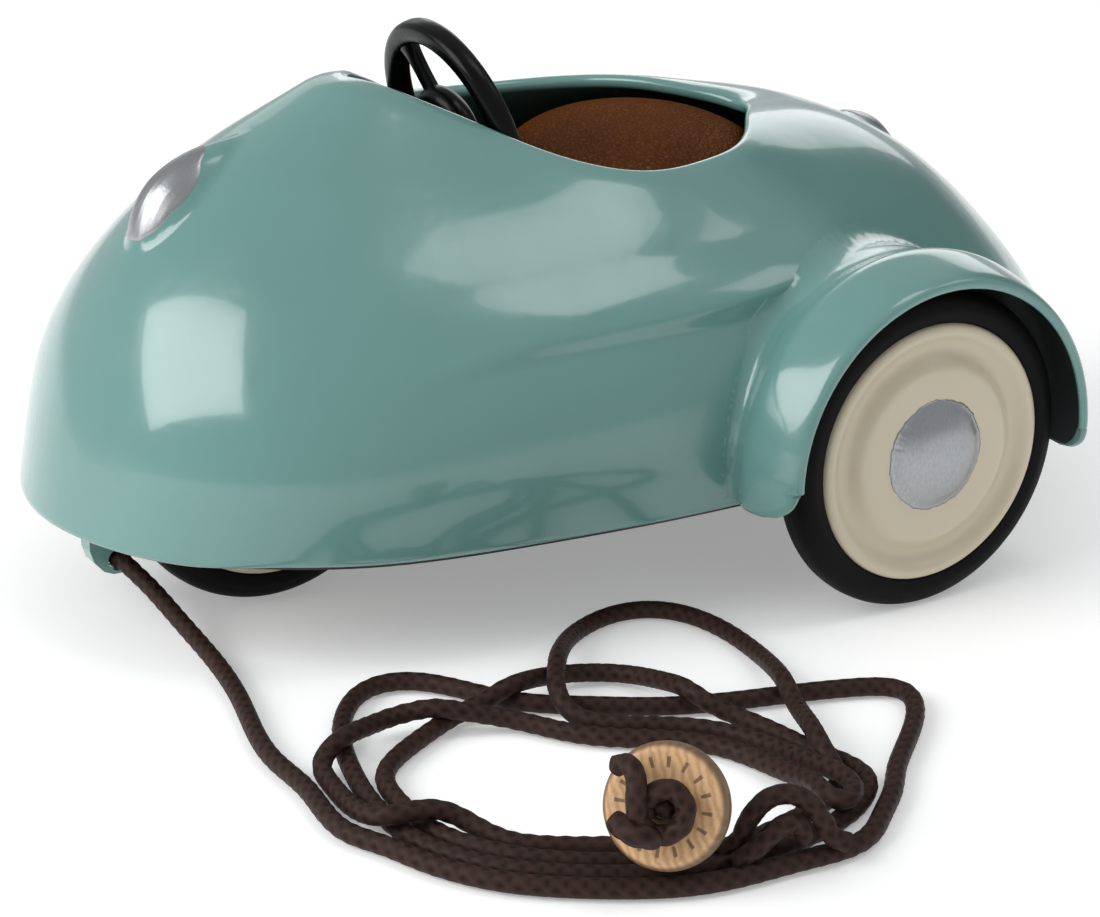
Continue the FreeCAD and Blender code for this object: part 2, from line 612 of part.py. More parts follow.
def motor_case(name, block_x, hollow_x, bore_x):
    """Half of the case, open below and at the middle plane; the x are least x of each."""
    block = box(name + "_block",
                ("case_half - 0.02", "case_back_y - case_front_y", "case_top_z - floor_thick"),
                (block_x, "case_front_y", "floor_thick"))
    hollow = box(name + "_hollow",
                 ("case_half - case_wall + 0.5", "case_back_y - case_front_y - 2*case_wall",
                  "case_top_z - floor_thick - case_wall"),
                 (hollow_x, "case_front_y + case_wall", "floor_thick"))
    tools = [hollow]
    shafts = ((REAR_AXLE, "rear_shaft_rad + 0.5"), (IDLER, "shaft_rad + run_gap"),
              (ARBOR, "shaft_rad + run_gap"))
    for i, (axis, radius) in enumerate(shafts):
        start = Placement(axis + Vector(bore_x, 0, 0), ALONG_X)
        tools.append(cylinder(f"{name}_bore{i}", radius, 30.0, start))
    keep(cut_all(name, block, tools))


motor_case("motor_case_left", block_x=0.02, hollow_x=-0.5, bore_x=0.0)
motor_case("motor_case_right", block_x="-case_half", hollow_x="-case_half + case_wall",
           bore_x=-30.0)


def gear(teeth, phase, start_x, bore):
    """Spur gear about X, with the middle of a tooth at the angle phase from +Y."""
    module = dim("gear_module")
    points = []
    for i in range(teeth):
        for turn, rise in TOOTH:
            angle = phase + (i + turn) * 2 * math.pi / teeth
            radius = module * teeth / 2.0 + rise * module
            points.append(Vector(start_x, radius * math.cos(angle), radius * math.sin(angle)))
    points.append(points[0])
    blank = Part.Face(Part.makePolygon(points)).extrude(Vector(GEAR_WIDE, 0, 0))
    return blank.cut(Part.makeCylinder(
        bore, GEAR_WIDE + 2, Vector(start_x - 1, 0, 0), Vector(1, 0, 0)))


def placed(shape, place):
    shape.translate(place)
    return shape


def idler_gear(large_phase, small_phase):
    """Large and small gear joined by a boss."""
    bore = dim("shaft_rad")
    large = gear(LARGE, large_phase, OUTER_GEARS_X, bore)
    small = gear(SMALL, small_phase, INNER_GEARS_X, bore)
    boss = Part.makeCylinder(2.6, 1.5, Vector(1.5, 0, 0), Vector(1, 0, 0))
    boss = boss.cut(Part.makeCylinder(bore, 3, Vector(1, 0, 0), Vector(1, 0, 0)))
    return large.fuse([small, boss]).removeSplitter()


# A tooth of each small gear points along the line of centres; a gap of the large faces it.
SMALL, LARGE = int(dim("gear_small")), int(dim("gear_large"))
axle_to_idler = math.atan2(IDLER.z - REAR_AXLE.z, IDLER.y - REAR_AXLE.y)
idler_to_arbor = math.atan2(ARBOR.z - IDLER.z, ARBOR.y - IDLER.y)
facing_gap = math.pi + math.pi / LARGE
axle_gear = gear(SMALL, axle_to_idler, OUTER_GEARS_X, dim("rear_shaft_rad"))
arbor_gear = gear(LARGE, idler_to_arbor + facing_gap, INNER_GEARS_X, dim("shaft_rad"))
feature("axle_gear", placed(axle_gear, REAR_AXLE))
feature("idler_gear", placed(idler_gear(axle_to_idler + facing_gap, idler_to_arbor), IDLER))
feature("arbor_gear", placed(arbor_gear, ARBOR))

for name, axis in (("idler_shaft", IDLER), ("winding_arbor", ARBOR)):
    start = axis - Vector(dim("case_half") - 0.2, 0, 0)
    keep(cylinder(name, "shaft_rad", "2*case_half - 0.4", Placement(start, ALONG_X)))


def spiral_ribbon(start_rad, end_rad, turns, thick, start_x, width):
    steps = turns * 24
    inner, outer = [], []
    for i in range(steps + 1):
        angle = 2 * math.pi * turns * i / steps
        radius = start_rad + (end_rad - start_rad) * i / steps
        direction = Vector(0, math.cos(angle), math.sin(angle))
        inner.append(direction * radius)
        outer.append(direction * (radius + thick))
    section = Part.Face(Part.Wire([
        spline_edge(inner), Part.makeLine(inner[-1], outer[-1]),
        spline_edge(outer), Part.makeLine(outer[0], inner[0])]))
    section.translate(Vector(start_x, 0, 0))
    return section.extrude(Vector(width, 0, 0))


mainspring = spiral_ribbon(
    start_rad=1.5, end_rad=9.6, turns=7, thick=0.35, start_x=-8.5, width=5.0)
feature("mainspring", placed(mainspring, ARBOR))


# ---------------------------------------------------------------- steering
tilt = math.radians(dim("wheel_tilt"))
COLUMN_AXIS = Vector(0, math.sin(tilt), math.cos(tilt))  # up the column, toward the driver
WHEEL_MID = Vector(0, dim("wheel_mid_y"), dim("wheel_mid_z"))
COLUMN_TURN = Rotation(Vector(1, 0, 0), COLUMN_AXIS.cross(Vector(1, 0, 0)) * -1.0,
                       COLUMN_AXIS, "ZXY")


def on_wheel_axis(z):
    """Place on the axis of the wheel while it is built flat round the origin."""
    return Placement(Vector(0, 0, z), Rotation())


def steering_wheel():
    rim = doc.addObject("Part::Torus", "wheel_rim")
    set_size(rim, "Radius1", "wheel_ring_rad")
    set_size(rim, "Radius2", "wheel_ring_tube")
    hub = cylinder("wheel_hub", 5.9, 3.2, on_wheel_axis(-1.9))
    dome = doc.addObject("Part::Sphere", "wheel_dome")
    dome.Radius = 7.2
    dome.Placement = on_wheel_axis(-4.4)
    below_dome = box("wheel_dome_cut", (30.0, 30.0, 30.0), (-15.0, -15.0, -29.0))
    horn_dome = cut_all("wheel_horn_dome", dome, [below_dome])
    collar = cylinder("wheel_collar", 4.0, 3.4, on_wheel_axis(-5.2))
    spokes = []
    for i in range(3):
        angle = math.radians(120 * i)
        x, y = math.cos(angle), math.sin(angle)
        lie = Placement(Vector(2.0 * x, 2.0 * y, -0.4),
                        Rotation(Vector(0, 0, 1), Vector(x, y, 0.03)))
        spokes.append(cylinder(f"wheel_spoke{i}", 1.3, "wheel_ring_rad - 2.0", lie))
    casting = doc.addObject("Part::MultiFuse", "wheel_casting")
    casting.Shapes = [rim, hub, horn_dome, collar] + spokes
    bore = cylinder("wheel_bore", "column_rad", 6.0, on_wheel_axis(-6.0))
    finished = keep(cut_all("steering_wheel", casting, [bore]))
    finished.Placement = Placement(WHEEL_MID, COLUMN_TURN)


steering_wheel()
column_foot = WHEEL_MID - COLUMN_AXIS * dim("column_len")
keep(cylinder("steering_column", "column_rad", "column_len",
              Placement(column_foot, COLUMN_TURN)))

# Upright panel across the inside of the skin, and the bush that carries the column in it
DASH_BACK_Y = -20.6
DASH_THICK = 1.2
DASH_LOW_Z = 25.2
BUSH_HOLE_RAD = 3.0
bush_mid = WHEEL_MID - COLUMN_AXIS * ((WHEEL_MID.y - DASH_BACK_Y) / COLUMN_AXIS.y)


def column_cylinder(radius, length, start):
    """Cylinder along the column, starting that far up from bush_mid."""
    return Part.makeCylinder(radius, length, bush_mid + COLUMN_AXIS * start, COLUMN_AXIS)


dash = Part.makeBox(100, DASH_THICK, 30, Vector(-50, DASH_BACK_Y - DASH_THICK, DASH_LOW_Z))
dash = dash.common(INNER).cut(column_cylinder(BUSH_HOLE_RAD, 12, -6))
feature("dash_panel", largest(dash))

barrel = column_cylinder(BUSH_HOLE_RAD - 0.02, 4.6, -3.0)
flange = column_cylinder(4.2, 0.9, 1.45)
bore = column_cylinder(dim("column_rad") + dim("run_gap"), 14, -7)
feature("column_bush", barrel.fuse(flange).cut(bore).removeSplitter())


# ---------------------------------------------------------------- tow lug, cord and bead
# Middle line of the cord from the lug to the bead: (x, y, z)
CORD = [
    (2.70, -52.35, -7.18), (4.44, -51.87, -7.90), (7.28, -51.30, -8.77), (10.31, -50.97, -9.65),
    (13.36, -50.78, -10.44), (16.37, -50.65, -11.12), (19.35, -50.58, -11.66), (22.33, -50.62, -12.07),
    (25.31, -50.79, -12.38), (28.30, -51.12, -12.59), (31.27, -51.59, -12.72), (34.23, -52.21, -12.78),
    (37.15, -52.95, -12.80), (40.01, -53.74, -12.80), (42.84, -54.52, -12.80), (45.70, -55.22, -12.80),
    (48.62, -55.77, -12.80), (51.63, -56.05, -12.80), (54.62, -56.02, -12.80), (57.50, -55.95, -12.80),
    (60.39, -56.19, -12.80), (63.32, -56.68, -12.80), (66.45, -57.15, -12.80), (69.99, -57.19, -12.80),
    (72.98, -55.86, -12.80), (75.50, -54.63, -12.80), (78.33, -53.80, -12.80), (81.14, -52.71, -12.80),
    (83.81, -51.32, -12.80), (86.35, -49.68, -12.80), (88.67, -47.73, -12.80), (90.70, -45.50, -12.80),
    (92.57, -43.13, -12.80), (94.31, -40.66, -12.80), (95.93, -38.11, -12.80), (97.39, -35.49, -12.80),
    (98.56, -32.75, -12.80), (99.35, -29.88, -12.80), (99.77, -26.92, -12.80), (99.97, -23.93, -12.80),
    (100.13, -20.92, -12.80), (100.40, -17.93, -12.80), (100.66, -14.96, -12.80), (100.32, -12.09, -12.80),
    (99.02, -9.51, -12.80), (97.12, -7.26, -12.80), (95.22, -5.00, -12.80), (93.27, -2.59, -12.80),
    (90.98, -0.48, -12.80), (88.75, 1.45, -12.80), (86.75, 3.62, -12.80), (84.79, 5.89, -12.80),
    (82.80, 8.15, -12.80), (80.75, 10.34, -12.80), (78.56, 12.37, -12.80), (76.15, 14.06, -12.80),
    (73.60, 14.80, -12.80), (71.51, 13.65, -12.80), (70.16, 11.16, -12.80), (69.08, 8.37, -12.80),
    (68.11, 5.53, -12.80), (67.23, 2.65, -12.80), (66.42, -0.25, -12.80), (65.59, -3.14, -12.80),
    (64.65, -5.99, -12.80), (63.60, -8.79, -12.80), (62.38, -11.51, -12.80), (60.86, -14.08, -12.80),
    (59.15, -16.56, -12.80), (57.42, -19.02, -12.80), (55.72, -21.50, -12.80), (53.88, -23.85, -12.80),
    (51.69, -25.86, -12.80), (49.19, -27.49, -12.80), (46.56, -28.93, -12.80), (43.95, -30.40, -12.80),
    (41.61, -32.19, -12.80), (40.04, -34.54, -12.80), (39.75, -37.29, -12.80), (40.80, -39.94, -12.80),
    (42.68, -42.20, -12.80), (44.98, -44.11, -12.80), (47.48, -45.75, -12.80), (50.14, -47.13, -12.80),
    (52.91, -48.29, -12.80), (55.74, -49.25, -12.80), (58.60, -50.07, -12.80), (61.44, -50.83, -12.80),
    (64.40, -51.44, -12.80), (67.54, -51.84, -12.80), (70.73, -52.06, -12.80), (73.90, -51.95, -12.80),
    (77.02, -51.41, -12.80), (79.89, -50.34, -12.80), (82.60, -48.92, -12.80), (85.17, -47.24, -12.80),
    (87.41, -45.18, -12.80), (89.37, -42.88, -12.80), (91.22, -40.47, -12.80), (92.86, -37.92, -12.80),
    (94.23, -35.22, -12.80), (95.31, -32.40, -12.80), (96.10, -29.50, -12.80), (96.63, -26.55, -12.80),
    (96.89, -23.57, -12.80), (96.87, -20.58, -12.80), (96.59, -17.59, -12.80), (96.08, -14.63, -12.80),
    (95.36, -11.73, -12.80), (94.36, -8.97, -12.80), (92.94, -6.51, -12.80), (91.19, -4.31, -12.80),
    (89.14, -2.69, -12.80), (86.55, -2.26, -12.80), (83.67, -2.81, -12.80), (80.80, -3.63, -12.80),
    (77.86, -4.12, -12.80), (74.92, -4.54, -12.80), (72.12, -5.13, -12.77), (69.68, -6.07, -12.59),
    (67.73, -7.38, -12.06), (65.95, -8.79, -11.16), (63.10, -9.46, -10.37), (59.01, -9.36, -11.46),
    (55.26, -9.81, -12.21), (52.37, -11.19, -12.64), (50.49, -13.45, -12.71), (49.67, -16.37, -12.45),
    (49.98, -19.80, -11.81), (51.28, -23.54, -10.91), (52.37, -26.90, -10.56), (52.14, -29.24, -11.65),
    (51.82, -31.41, -12.35), (52.09, -33.79, -12.70), (53.15, -36.32, -12.79), (54.50, -38.92, -12.80),
    (55.93, -41.54, -12.80), (57.50, -44.09, -12.80), (59.36, -46.39, -12.80), (61.71, -47.99, -12.79),
    (64.42, -48.76, -12.76), (67.26, -49.15, -12.73), (70.18, -49.38, -12.68), (73.04, -49.32, -12.76),
    (75.97, -48.94, -12.71), (78.62, -47.97, -12.72), (81.18, -46.64, -12.76), (83.67, -45.03, -12.69),
    (85.78, -43.03, -12.77), (87.65, -40.81, -12.79), (89.39, -38.45, -12.80), (90.91, -35.91, -12.80),
    (92.16, -33.22, -12.80), (93.13, -30.42, -12.80), (93.75, -27.52, -12.80), (93.97, -24.55, -12.80),
    (93.84, -21.56, -12.80), (93.42, -18.59, -12.80), (92.77, -15.66, -12.80), (91.93, -12.78, -12.80),
    (90.94, -10.00, -12.80), (89.69, -7.54, -12.79), (88.09, -5.77, -12.68), (86.43, -5.05, -12.28),
    (84.68, -4.95, -11.48), (82.19, -4.43, -10.43), (78.60, -2.92, -10.48), (74.95, -1.08, -11.48),
    (72.15, 0.20, -11.87), (70.15, 0.84, -11.56), (68.18, 1.35, -10.57), (64.75, 2.79, -10.96),
    (60.67, 4.51, -11.86), (56.95, 5.73, -12.48), (53.65, 6.43, -12.74), (50.58, 6.72, -12.79),
    (47.57, 6.70, -12.80), (44.61, 6.34, -12.80), (41.78, 5.49, -12.80), (39.33, 3.93, -12.80),
    (37.66, 1.61, -12.80), (37.02, -1.19, -12.80), (37.32, -4.12, -12.79), (38.38, -6.99, -12.71),
    (40.23, -9.84, -12.36), (43.00, -12.78, -11.60), (46.55, -15.78, -10.64), (50.23, -18.55, -9.58),
    (52.74, -20.36, -10.05), (54.97, -21.76, -10.23), (56.97, -22.63, -10.77), (58.49, -22.61, -11.82),
    (60.28, -21.94, -12.47), (62.28, -20.47, -12.74), (64.07, -18.25, -12.79), (65.67, -15.73, -12.80),
    (67.36, -13.26, -12.80), (69.36, -11.05, -12.80), (71.76, -9.25, -12.79), (74.59, -7.96, -12.73),
    (77.93, -7.30, -12.45), (81.78, -7.35, -11.83), (85.87, -7.66, -11.02), (89.57, -7.67, -10.26),
    (92.49, -7.78, -10.29), (94.85, -8.93, -10.18), (96.03, -10.86, -10.23), (95.10, -12.04, -10.21),
    (92.75, -11.71, -10.31), (89.99, -10.87, -10.57), (86.61, -10.37, -11.64), (82.84, -10.23, -12.36),
    (79.16, -10.47, -12.70), (75.82, -11.31, -12.79), (73.04, -12.75, -12.80), (70.79, -14.74, -12.80),
    (68.92, -17.08, -12.80), (67.20, -19.54, -12.80), (65.38, -21.90, -12.80), (63.22, -23.92, -12.80),
    (60.76, -25.54, -12.80), (58.29, -27.00, -12.75), (56.24, -28.74, -12.53), (55.01, -31.11, -11.94),
    (54.35, -34.03, -10.99), (53.02, -36.73, -10.31), (51.02, -38.90, -11.24), (50.50, -41.49, -11.59),
    (51.82, -44.63, -11.27), (53.87, -47.95, -10.34), (54.81, -50.48, -10.65), (55.18, -52.04, -11.74),
    (56.41, -52.96, -12.42), (58.64, -53.29, -12.71), (61.64, -53.67, -12.69), (65.03, -54.25, -12.41),
    (68.68, -54.59, -11.77), (72.03, -54.55, -10.79), (73.34, -53.11, -10.41), (73.79, -50.72, -10.25),
    (74.73, -48.36, -10.31), (75.97, -46.42, -11.36), (77.92, -45.31, -12.20), (80.26, -44.11, -12.65),
    (82.58, -42.46, -12.78), (85.97, -37.33, -12.85), (88.29, -33.22, -12.85), (90.34, -30.04, -11.22),
    (91.67, -29.46, -8.47), (93.07, -30.85, -6.38), (94.48, -32.57, -5.48), (95.89, -34.29, -4.58),
    (96.90, -35.13, -4.04), (98.19, -35.52, -3.34), (97.80, -35.42, -2.26), (97.12, -35.65, -1.37),
    (96.28, -36.19, -0.80), (95.43, -36.95, -0.65), (94.73, -37.81, -0.94), (94.32, -38.64, -1.61),
    (94.26, -39.31, -2.54), (94.60, -39.72, -3.56), (95.26, -39.80, -4.49), (96.16, -39.55, -5.17),
    (97.15, -39.04, -5.46), (98.06, -38.35, -5.31),
]
CORD_START = Vector(*CORD[0])

lug = new_body("tow_lug")
sketch = new_sketch(lug, "lug_side", "YZ_Plane")
polygon(sketch, [
    ("lug_front_y", "floor_thick"), ("lug_front_y", "lug_low_z + 3.6"),
    ("lug_front_y + 0.5", "lug_low_z + 2.0"), ("lug_front_y + 1.7", "lug_low_z + 0.6"),
    ("lug_front_y + 3.0", "lug_low_z"), ("lug_back_y - 1.0", "lug_low_z"),
    ("lug_back_y - 0.3", "lug_low_z + 0.7"), ("lug_back_y", "lug_low_z + 1.8"),
    ("lug_back_y", "floor_thick"), ("lug_back_y + 0.8", "floor_thick"),
    ("lug_back_y + 0.8", "floor_thick + 1.0"), (-60.0, "floor_thick + 1.0"),
    (-60.0, "floor_thick")])
pad(lug, sketch, "2*lug_half", "lug_plate", mid=True)
sketch = new_sketch(lug, "lug_eye", "YZ_Plane")
circle(sketch, CORD_START.y - 0.25, CORD_START.z + 0.1, "lug_hole")
pocket(lug, sketch, 12.0, "lug_eye_cut", mid=True)


def tube_solid(path, radius, sides=8):
    """Round tube whose control rings are carried along the path without twist."""
    points = [Vector(*place) for place in path]
    last = len(points) - 1
    # poles stand outside the surface, which passes at radius
    pole_rad = radius / ((4.0 + 2.0 * math.cos(2 * math.pi / sides)) / 6.0)
    normal = Vector(0, 0, 1)
    rings = []
    for i, point in enumerate(points):
        tangent = (points[min(i + 1, last)] - points[max(i - 1, 0)]).normalize()
        normal = (normal - tangent * normal.dot(tangent)).normalize()
        side = tangent.cross(normal)
        angles = [2 * math.pi * k / sides for k in range(sides)]
        rings.append([point + normal * (pole_rad * math.cos(angle))
                      + side * (pole_rad * math.sin(angle)) for angle in angles])
    surface = loop_surface([[ring[k] for ring in rings] for k in range(sides)])
    ends = [end_face(surface, v) for v in (0.0, float(len(points) - 3))]
    return sewn_solid([surface.toShape()] + ends)


feature("pull_cord", tube_solid(CORD, dim("cord_rad")))

# Ball on a short stub of cord, reaching through the lug eye from the right
KNOT_RAD = 2.3
knot_mid = Vector(-4.4, CORD_START.y - 0.5, CORD_START.z + 0.35)
stub = CORD_START + Vector(-1.4, -0.1, 0.08) - knot_mid
knot = Part.makeSphere(KNOT_RAD, knot_mid, stub)
feature("cord_anchor_knot",
        Part.makeCylinder(dim("cord_rad"), stub.Length, knot_mid, stub).fuse(knot))

BEAD_MID = Vector(95.185, -33.434, -5.030)
BEAD_AXIS = Vector(0.5879, -0.7168, 0.3749)
turned("wooden_bead", Placement(BEAD_MID, Rotation(Vector(1, 0, 0), BEAD_AXIS)), [
    ("-bead_thick/2 + 0.5", "bead_hole"), ("-bead_thick/2", "bead_hole + 0.5"),
    ("-bead_thick/2", "bead_rad - 0.7"), ("-bead_thick/2 + 0.25", "bead_rad - 0.2"),
    ("-bead_thick/2 + 0.8", "bead_rad"), ("bead_thick/2 - 0.8", "bead_rad"),
    ("bead_thick/2 - 0.25", "bead_rad - 0.2"), ("bead_thick/2", "bead_rad - 0.7"),
    ("bead_thick/2", "bead_hole + 0.5"), ("bead_thick/2 - 0.5", "bead_hole")], stem="bead")


# ---------------------------------------------------------------- floor screws
def floor_screw(x, y):
    """Slotted screw standing head down in its counterbore."""
    head_z, head_high = 0.08, 0.8
    head = Part.makeCylinder(1.75, head_high, Vector(x, y, head_z))
    shank = Part.makeCylinder(0.88, 3.0, Vector(x, y, head_z + head_high))
    slot = Part.makeBox(3.6, 0.4, 0.35, Vector(x - 1.8, y - 0.2, 0.0))
    return head.fuse(shank).removeSplitter().cut(slot)


feature("floor_screws", Part.makeCompound([floor_screw(x, y) for x, y in SCREWS]))

# ---------------------------------------------------------------- validity and export
doc.recompute()
problems = []
for thing in doc.Objects:
    if any(word in thing.State for word in ("Invalid", "Error")):
        problems.append(f"{thing.Name}: {thing.State}")
for piece in PIECES:
    shape = piece.Shape
    if shape.isNull() or not shape.isValid() or shape.Volume <= 0:
        problems.append(f"{piece.Label}: bad shape")
if problems:
    raise RuntimeError("; ".join(problems))

os.makedirs("parts", exist_ok=True)
for piece in PIECES:
    piece.Shape.exportStep(f"parts/{piece.Label}.step")
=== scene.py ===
"""A clockwork pull-along toy car: pressed body, rear fenders, four wheels, a steering wheel,
a leather seat cushion and a braided cord ending in a wooden bead.

The nose points along -Y, the car's left side is +X and up is +Z. Shapes are worked out in
millimetres and become metres when a mesh is made. Floor, lights and camera are in metres.
"""
import math
from contextlib import contextmanager

import bpy
import bmesh
import numpy as np
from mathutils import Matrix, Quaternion, Vector
from mathutils.bvhtree import BVHTree

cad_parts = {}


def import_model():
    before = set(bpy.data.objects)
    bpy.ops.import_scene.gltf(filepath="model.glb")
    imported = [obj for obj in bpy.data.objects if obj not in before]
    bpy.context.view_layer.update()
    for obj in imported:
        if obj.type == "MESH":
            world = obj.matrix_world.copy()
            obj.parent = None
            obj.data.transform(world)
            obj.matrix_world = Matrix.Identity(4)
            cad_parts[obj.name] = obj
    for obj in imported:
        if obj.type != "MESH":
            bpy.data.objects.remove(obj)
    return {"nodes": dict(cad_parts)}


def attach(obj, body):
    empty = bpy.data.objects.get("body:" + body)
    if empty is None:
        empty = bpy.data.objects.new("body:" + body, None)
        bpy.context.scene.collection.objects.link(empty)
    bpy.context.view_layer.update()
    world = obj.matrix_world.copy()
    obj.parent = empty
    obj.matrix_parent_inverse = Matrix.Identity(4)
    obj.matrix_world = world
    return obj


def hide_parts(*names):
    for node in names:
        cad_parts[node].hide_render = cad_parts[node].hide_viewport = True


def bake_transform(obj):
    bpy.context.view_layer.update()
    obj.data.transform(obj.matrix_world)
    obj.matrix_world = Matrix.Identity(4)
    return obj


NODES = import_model()["nodes"]
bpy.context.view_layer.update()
MM = 0.001

REAR_AXLE = np.array([0.0, 34.13, 6.5])
FRONT_AXLE = np.array([0.0, -34.13, 5.27])
VIEW_BACK = (0.7966, -0.4919, 0.3513)   # from the car towards the camera


# ------------------------------------------------------------------ vectors and curves


def unit(vectors):
    return vectors / np.linalg.norm(vectors, axis=-1, keepdims=True)


def smoothstep(t):
    t = np.clip(t, 0, 1)
    return t * t * (3 - 2 * t)


def blunt(value, power):
    """Raises a sine or cosine to a power below 1, which squares up a round section."""
    return math.copysign(abs(value) ** power, value)


def across_axis(axis):
    """Two unit vectors square to a unit axis, the first as near upright as it can be."""
    first = unit(np.array([0, 0, 1.0]) - axis * axis[2])
    return first, np.cross(axis, first)


def run_lengths(points):
    return np.concatenate([[0], np.cumsum(np.linalg.norm(np.diff(points, axis=0), axis=1))])


def sample(points, lengths, wanted):
    return np.stack([np.interp(wanted, lengths, column) for column in points.T], 1)


def smooth_line(stations, count):
    """Catmull-Rom curve through the stations, resampled evenly by length."""
    stations = np.asarray(stations, float)
    last = len(stations) - 1
    curve = []
    for i in range(last):
        p0, p1 = stations[max(i - 1, 0)], stations[i]
        p2, p3 = stations[i + 1], stations[min(i + 2, last)]
        for t in np.linspace(0, 1, 24, endpoint=False):
            curve.append(0.5 * (2 * p1 + (-p0 + p2) * t
                                + (2 * p0 - 5 * p1 + 4 * p2 - p3) * t * t
                                + (-p0 + 3 * p1 - 3 * p2 + p3) * t ** 3))
    curve = np.array(curve + [stations[-1]])
    lengths = run_lengths(curve)
    return sample(curve, lengths, np.linspace(0, lengths[-1], count))


def bspline_weights(t):
    """Weights of the four control points of one uniform cubic span."""
    return ((1 - t) ** 3 / 6, (3 * t ** 3 - 6 * t * t + 4) / 6,
            (-3 * t ** 3 + 3 * t * t + 3 * t + 1) / 6, t ** 3 / 6)


def bspline_path(control, step):
    """Cubic B-spline from the first control point to the last, sampled every step."""
    control = np.vstack([2 * control[0] - control[1], control, 2 * control[-1] - control[-2]])
    curve = []
    for i in range(1, len(control) - 2):
        for t in np.linspace(0, 1, 10, endpoint=False):
            curve.append(np.array(bspline_weights(t)) @ control[i - 1:i + 3])
    curve = np.array(curve + [control[-2]])
    lengths = run_lengths(curve)
    return sample(curve, lengths, np.arange(0, lengths[-1], step))


# ------------------------------------------------------------------ mesh helpers


def mesh_object(name, points, faces, materials):
    """A flat-shaded object from points in metres."""
    mesh = bpy.data.meshes.new(name)
    mesh.from_pydata(points, [], faces)
    mesh.update()
    for material in materials:
        mesh.materials.append(material)
    ob = bpy.data.objects.new(name, mesh)
    bpy.context.scene.collection.objects.link(ob)
    return ob


def shade_smooth(ob):
    ob.data.polygons.foreach_set("use_smooth", [True] * len(ob.data.polygons))


def piece(name, points, faces, *materials, face_material=None):
    """A smooth-shaded object from points in millimetres."""
    ob = mesh_object(name, (np.asarray(points, float) * MM).tolist(), faces, materials)
    shade_smooth(ob)
    if face_material is not None:
        ob.data.polygons.foreach_set("material_index", np.asarray(face_material, np.int32))
    return ob


def register(ob, body=None, replaces=()):
    if body:
        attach(ob, body)
    if replaces:
        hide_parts(*replaces)


@contextmanager
def edit(ob):
    bm = bmesh.new()
    bm.from_mesh(ob.data)
    yield bm
    bm.to_mesh(ob.data)
    bm.free()


def face_outwards(ob):
    with edit(ob) as bm:
        bmesh.ops.recalc_face_normals(bm, faces=bm.faces)


def weld(ob, drop_slivers=False):
    """Merges points that coincide and turns every face outwards."""
    with edit(ob) as bm:
        bmesh.ops.remove_doubles(bm, verts=bm.verts, dist=1e-7)
        if drop_slivers:
            bmesh.ops.dissolve_degenerate(bm, dist=1e-8, edges=bm.edges)
        bmesh.ops.recalc_face_normals(bm, faces=bm.faces)
    shade_smooth(ob)


def point_attribute(ob, name, values):
    layer = ob.data.attributes.new(name, "FLOAT", "POINT")
    layer.data.foreach_set("value", np.asarray(values, np.float32))


def grid_faces(rows, columns, wrap_rows=True, wrap_columns=False):
    faces = []
    for i in range(rows if wrap_rows else rows - 1):
        a, b = i * columns, ((i + 1) % rows) * columns
        for j in range(columns if wrap_columns else columns - 1):
            k = (j + 1) % columns
            faces.append((a + j, b + j, b + k, a + k))
    return faces


def lathe(name, profile, centre, axis, material, steps, closed=True, radius_at=None):
    """Turns a profile of (along the axis, radius) points.

    A closed profile joins its last point to its first. radius_at(along, radius, angle)
    gives the radius at each angle where the form isn't truly round."""
    axis = unit(np.array(axis, float))
    first, second = across_axis(axis)
    points = []
    for i in range(steps):
        angle = 2 * math.pi * i / steps
        outward = first * math.cos(angle) + second * math.sin(angle)
        for along, radius in np.asarray(profile, float):
            if radius_at is not None:
                radius = radius_at(along, radius, angle)
            points.append(centre + axis * along + outward * max(radius, 0.0))
    ob = piece(name, points, grid_faces(steps, len(profile), True, closed), material)
    weld(ob, drop_slivers=True)
    return ob


def tube(name, path, radius, material, sides, section, closed=False):
    """Sweeps a round section along a path.

    section(angles, along) scales the radius. The point attribute "along" holds the run
    of the path. An open tube gets a shallow cone at each end."""
    path = np.asarray(path, float)
    count = len(path)
    index = np.arange(count)
    if closed:
        before, after = (index - 1) % count, (index + 1) % count
    else:
        before, after = np.maximum(index - 1, 0), np.minimum(index + 1, count - 1)
    tangents = unit(path[after] - path[before])
    angles = 2 * math.pi * np.arange(sides) / sides
    normal = np.array([0, 0, 1.0])
    points, runs, along = [], [], 0.0
    for i, tangent in enumerate(tangents):
        normal = unit(normal - tangent * normal.dot(tangent))
        binormal = np.cross(tangent, normal)
        if i:
            along += np.linalg.norm(path[i] - path[i - 1])
        reach = radius * section(angles, along)
        points.append(path[i] + np.outer(np.cos(angles) * reach, normal)
                      + np.outer(np.sin(angles) * reach, binormal))
        runs.append(np.full(sides, along))
    points = np.concatenate(points)
    faces = grid_faces(count, sides, closed, True)
    if not closed:
        first_tip, last_tip = len(points), len(points) + 1
        tip = radius * 0.35
        points = np.vstack([points, path[0] - tangents[0] * tip, path[-1] + tangents[-1] * tip])
        runs.append([0.0, along])
        last_ring = (count - 1) * sides
        for j in range(sides):
            k = (j + 1) % sides
            faces.append((j, k, first_tip))
            faces.append((last_ring + k, last_ring + j, last_tip))
    ob = piece(name, points, faces, material)
    point_attribute(ob, "along", np.concatenate(runs))
    face_outwards(ob)
    return ob


# ------------------------------------------------------------------ shader helpers


def srgb(red, green, blue):
    def linear(channel):
        c = channel / 255.0
        return c / 12.92 if c <= 0.04045 else ((c + 0.055) / 1.055) ** 2.4
    return (linear(red), linear(green), linear(blue), 1.0)


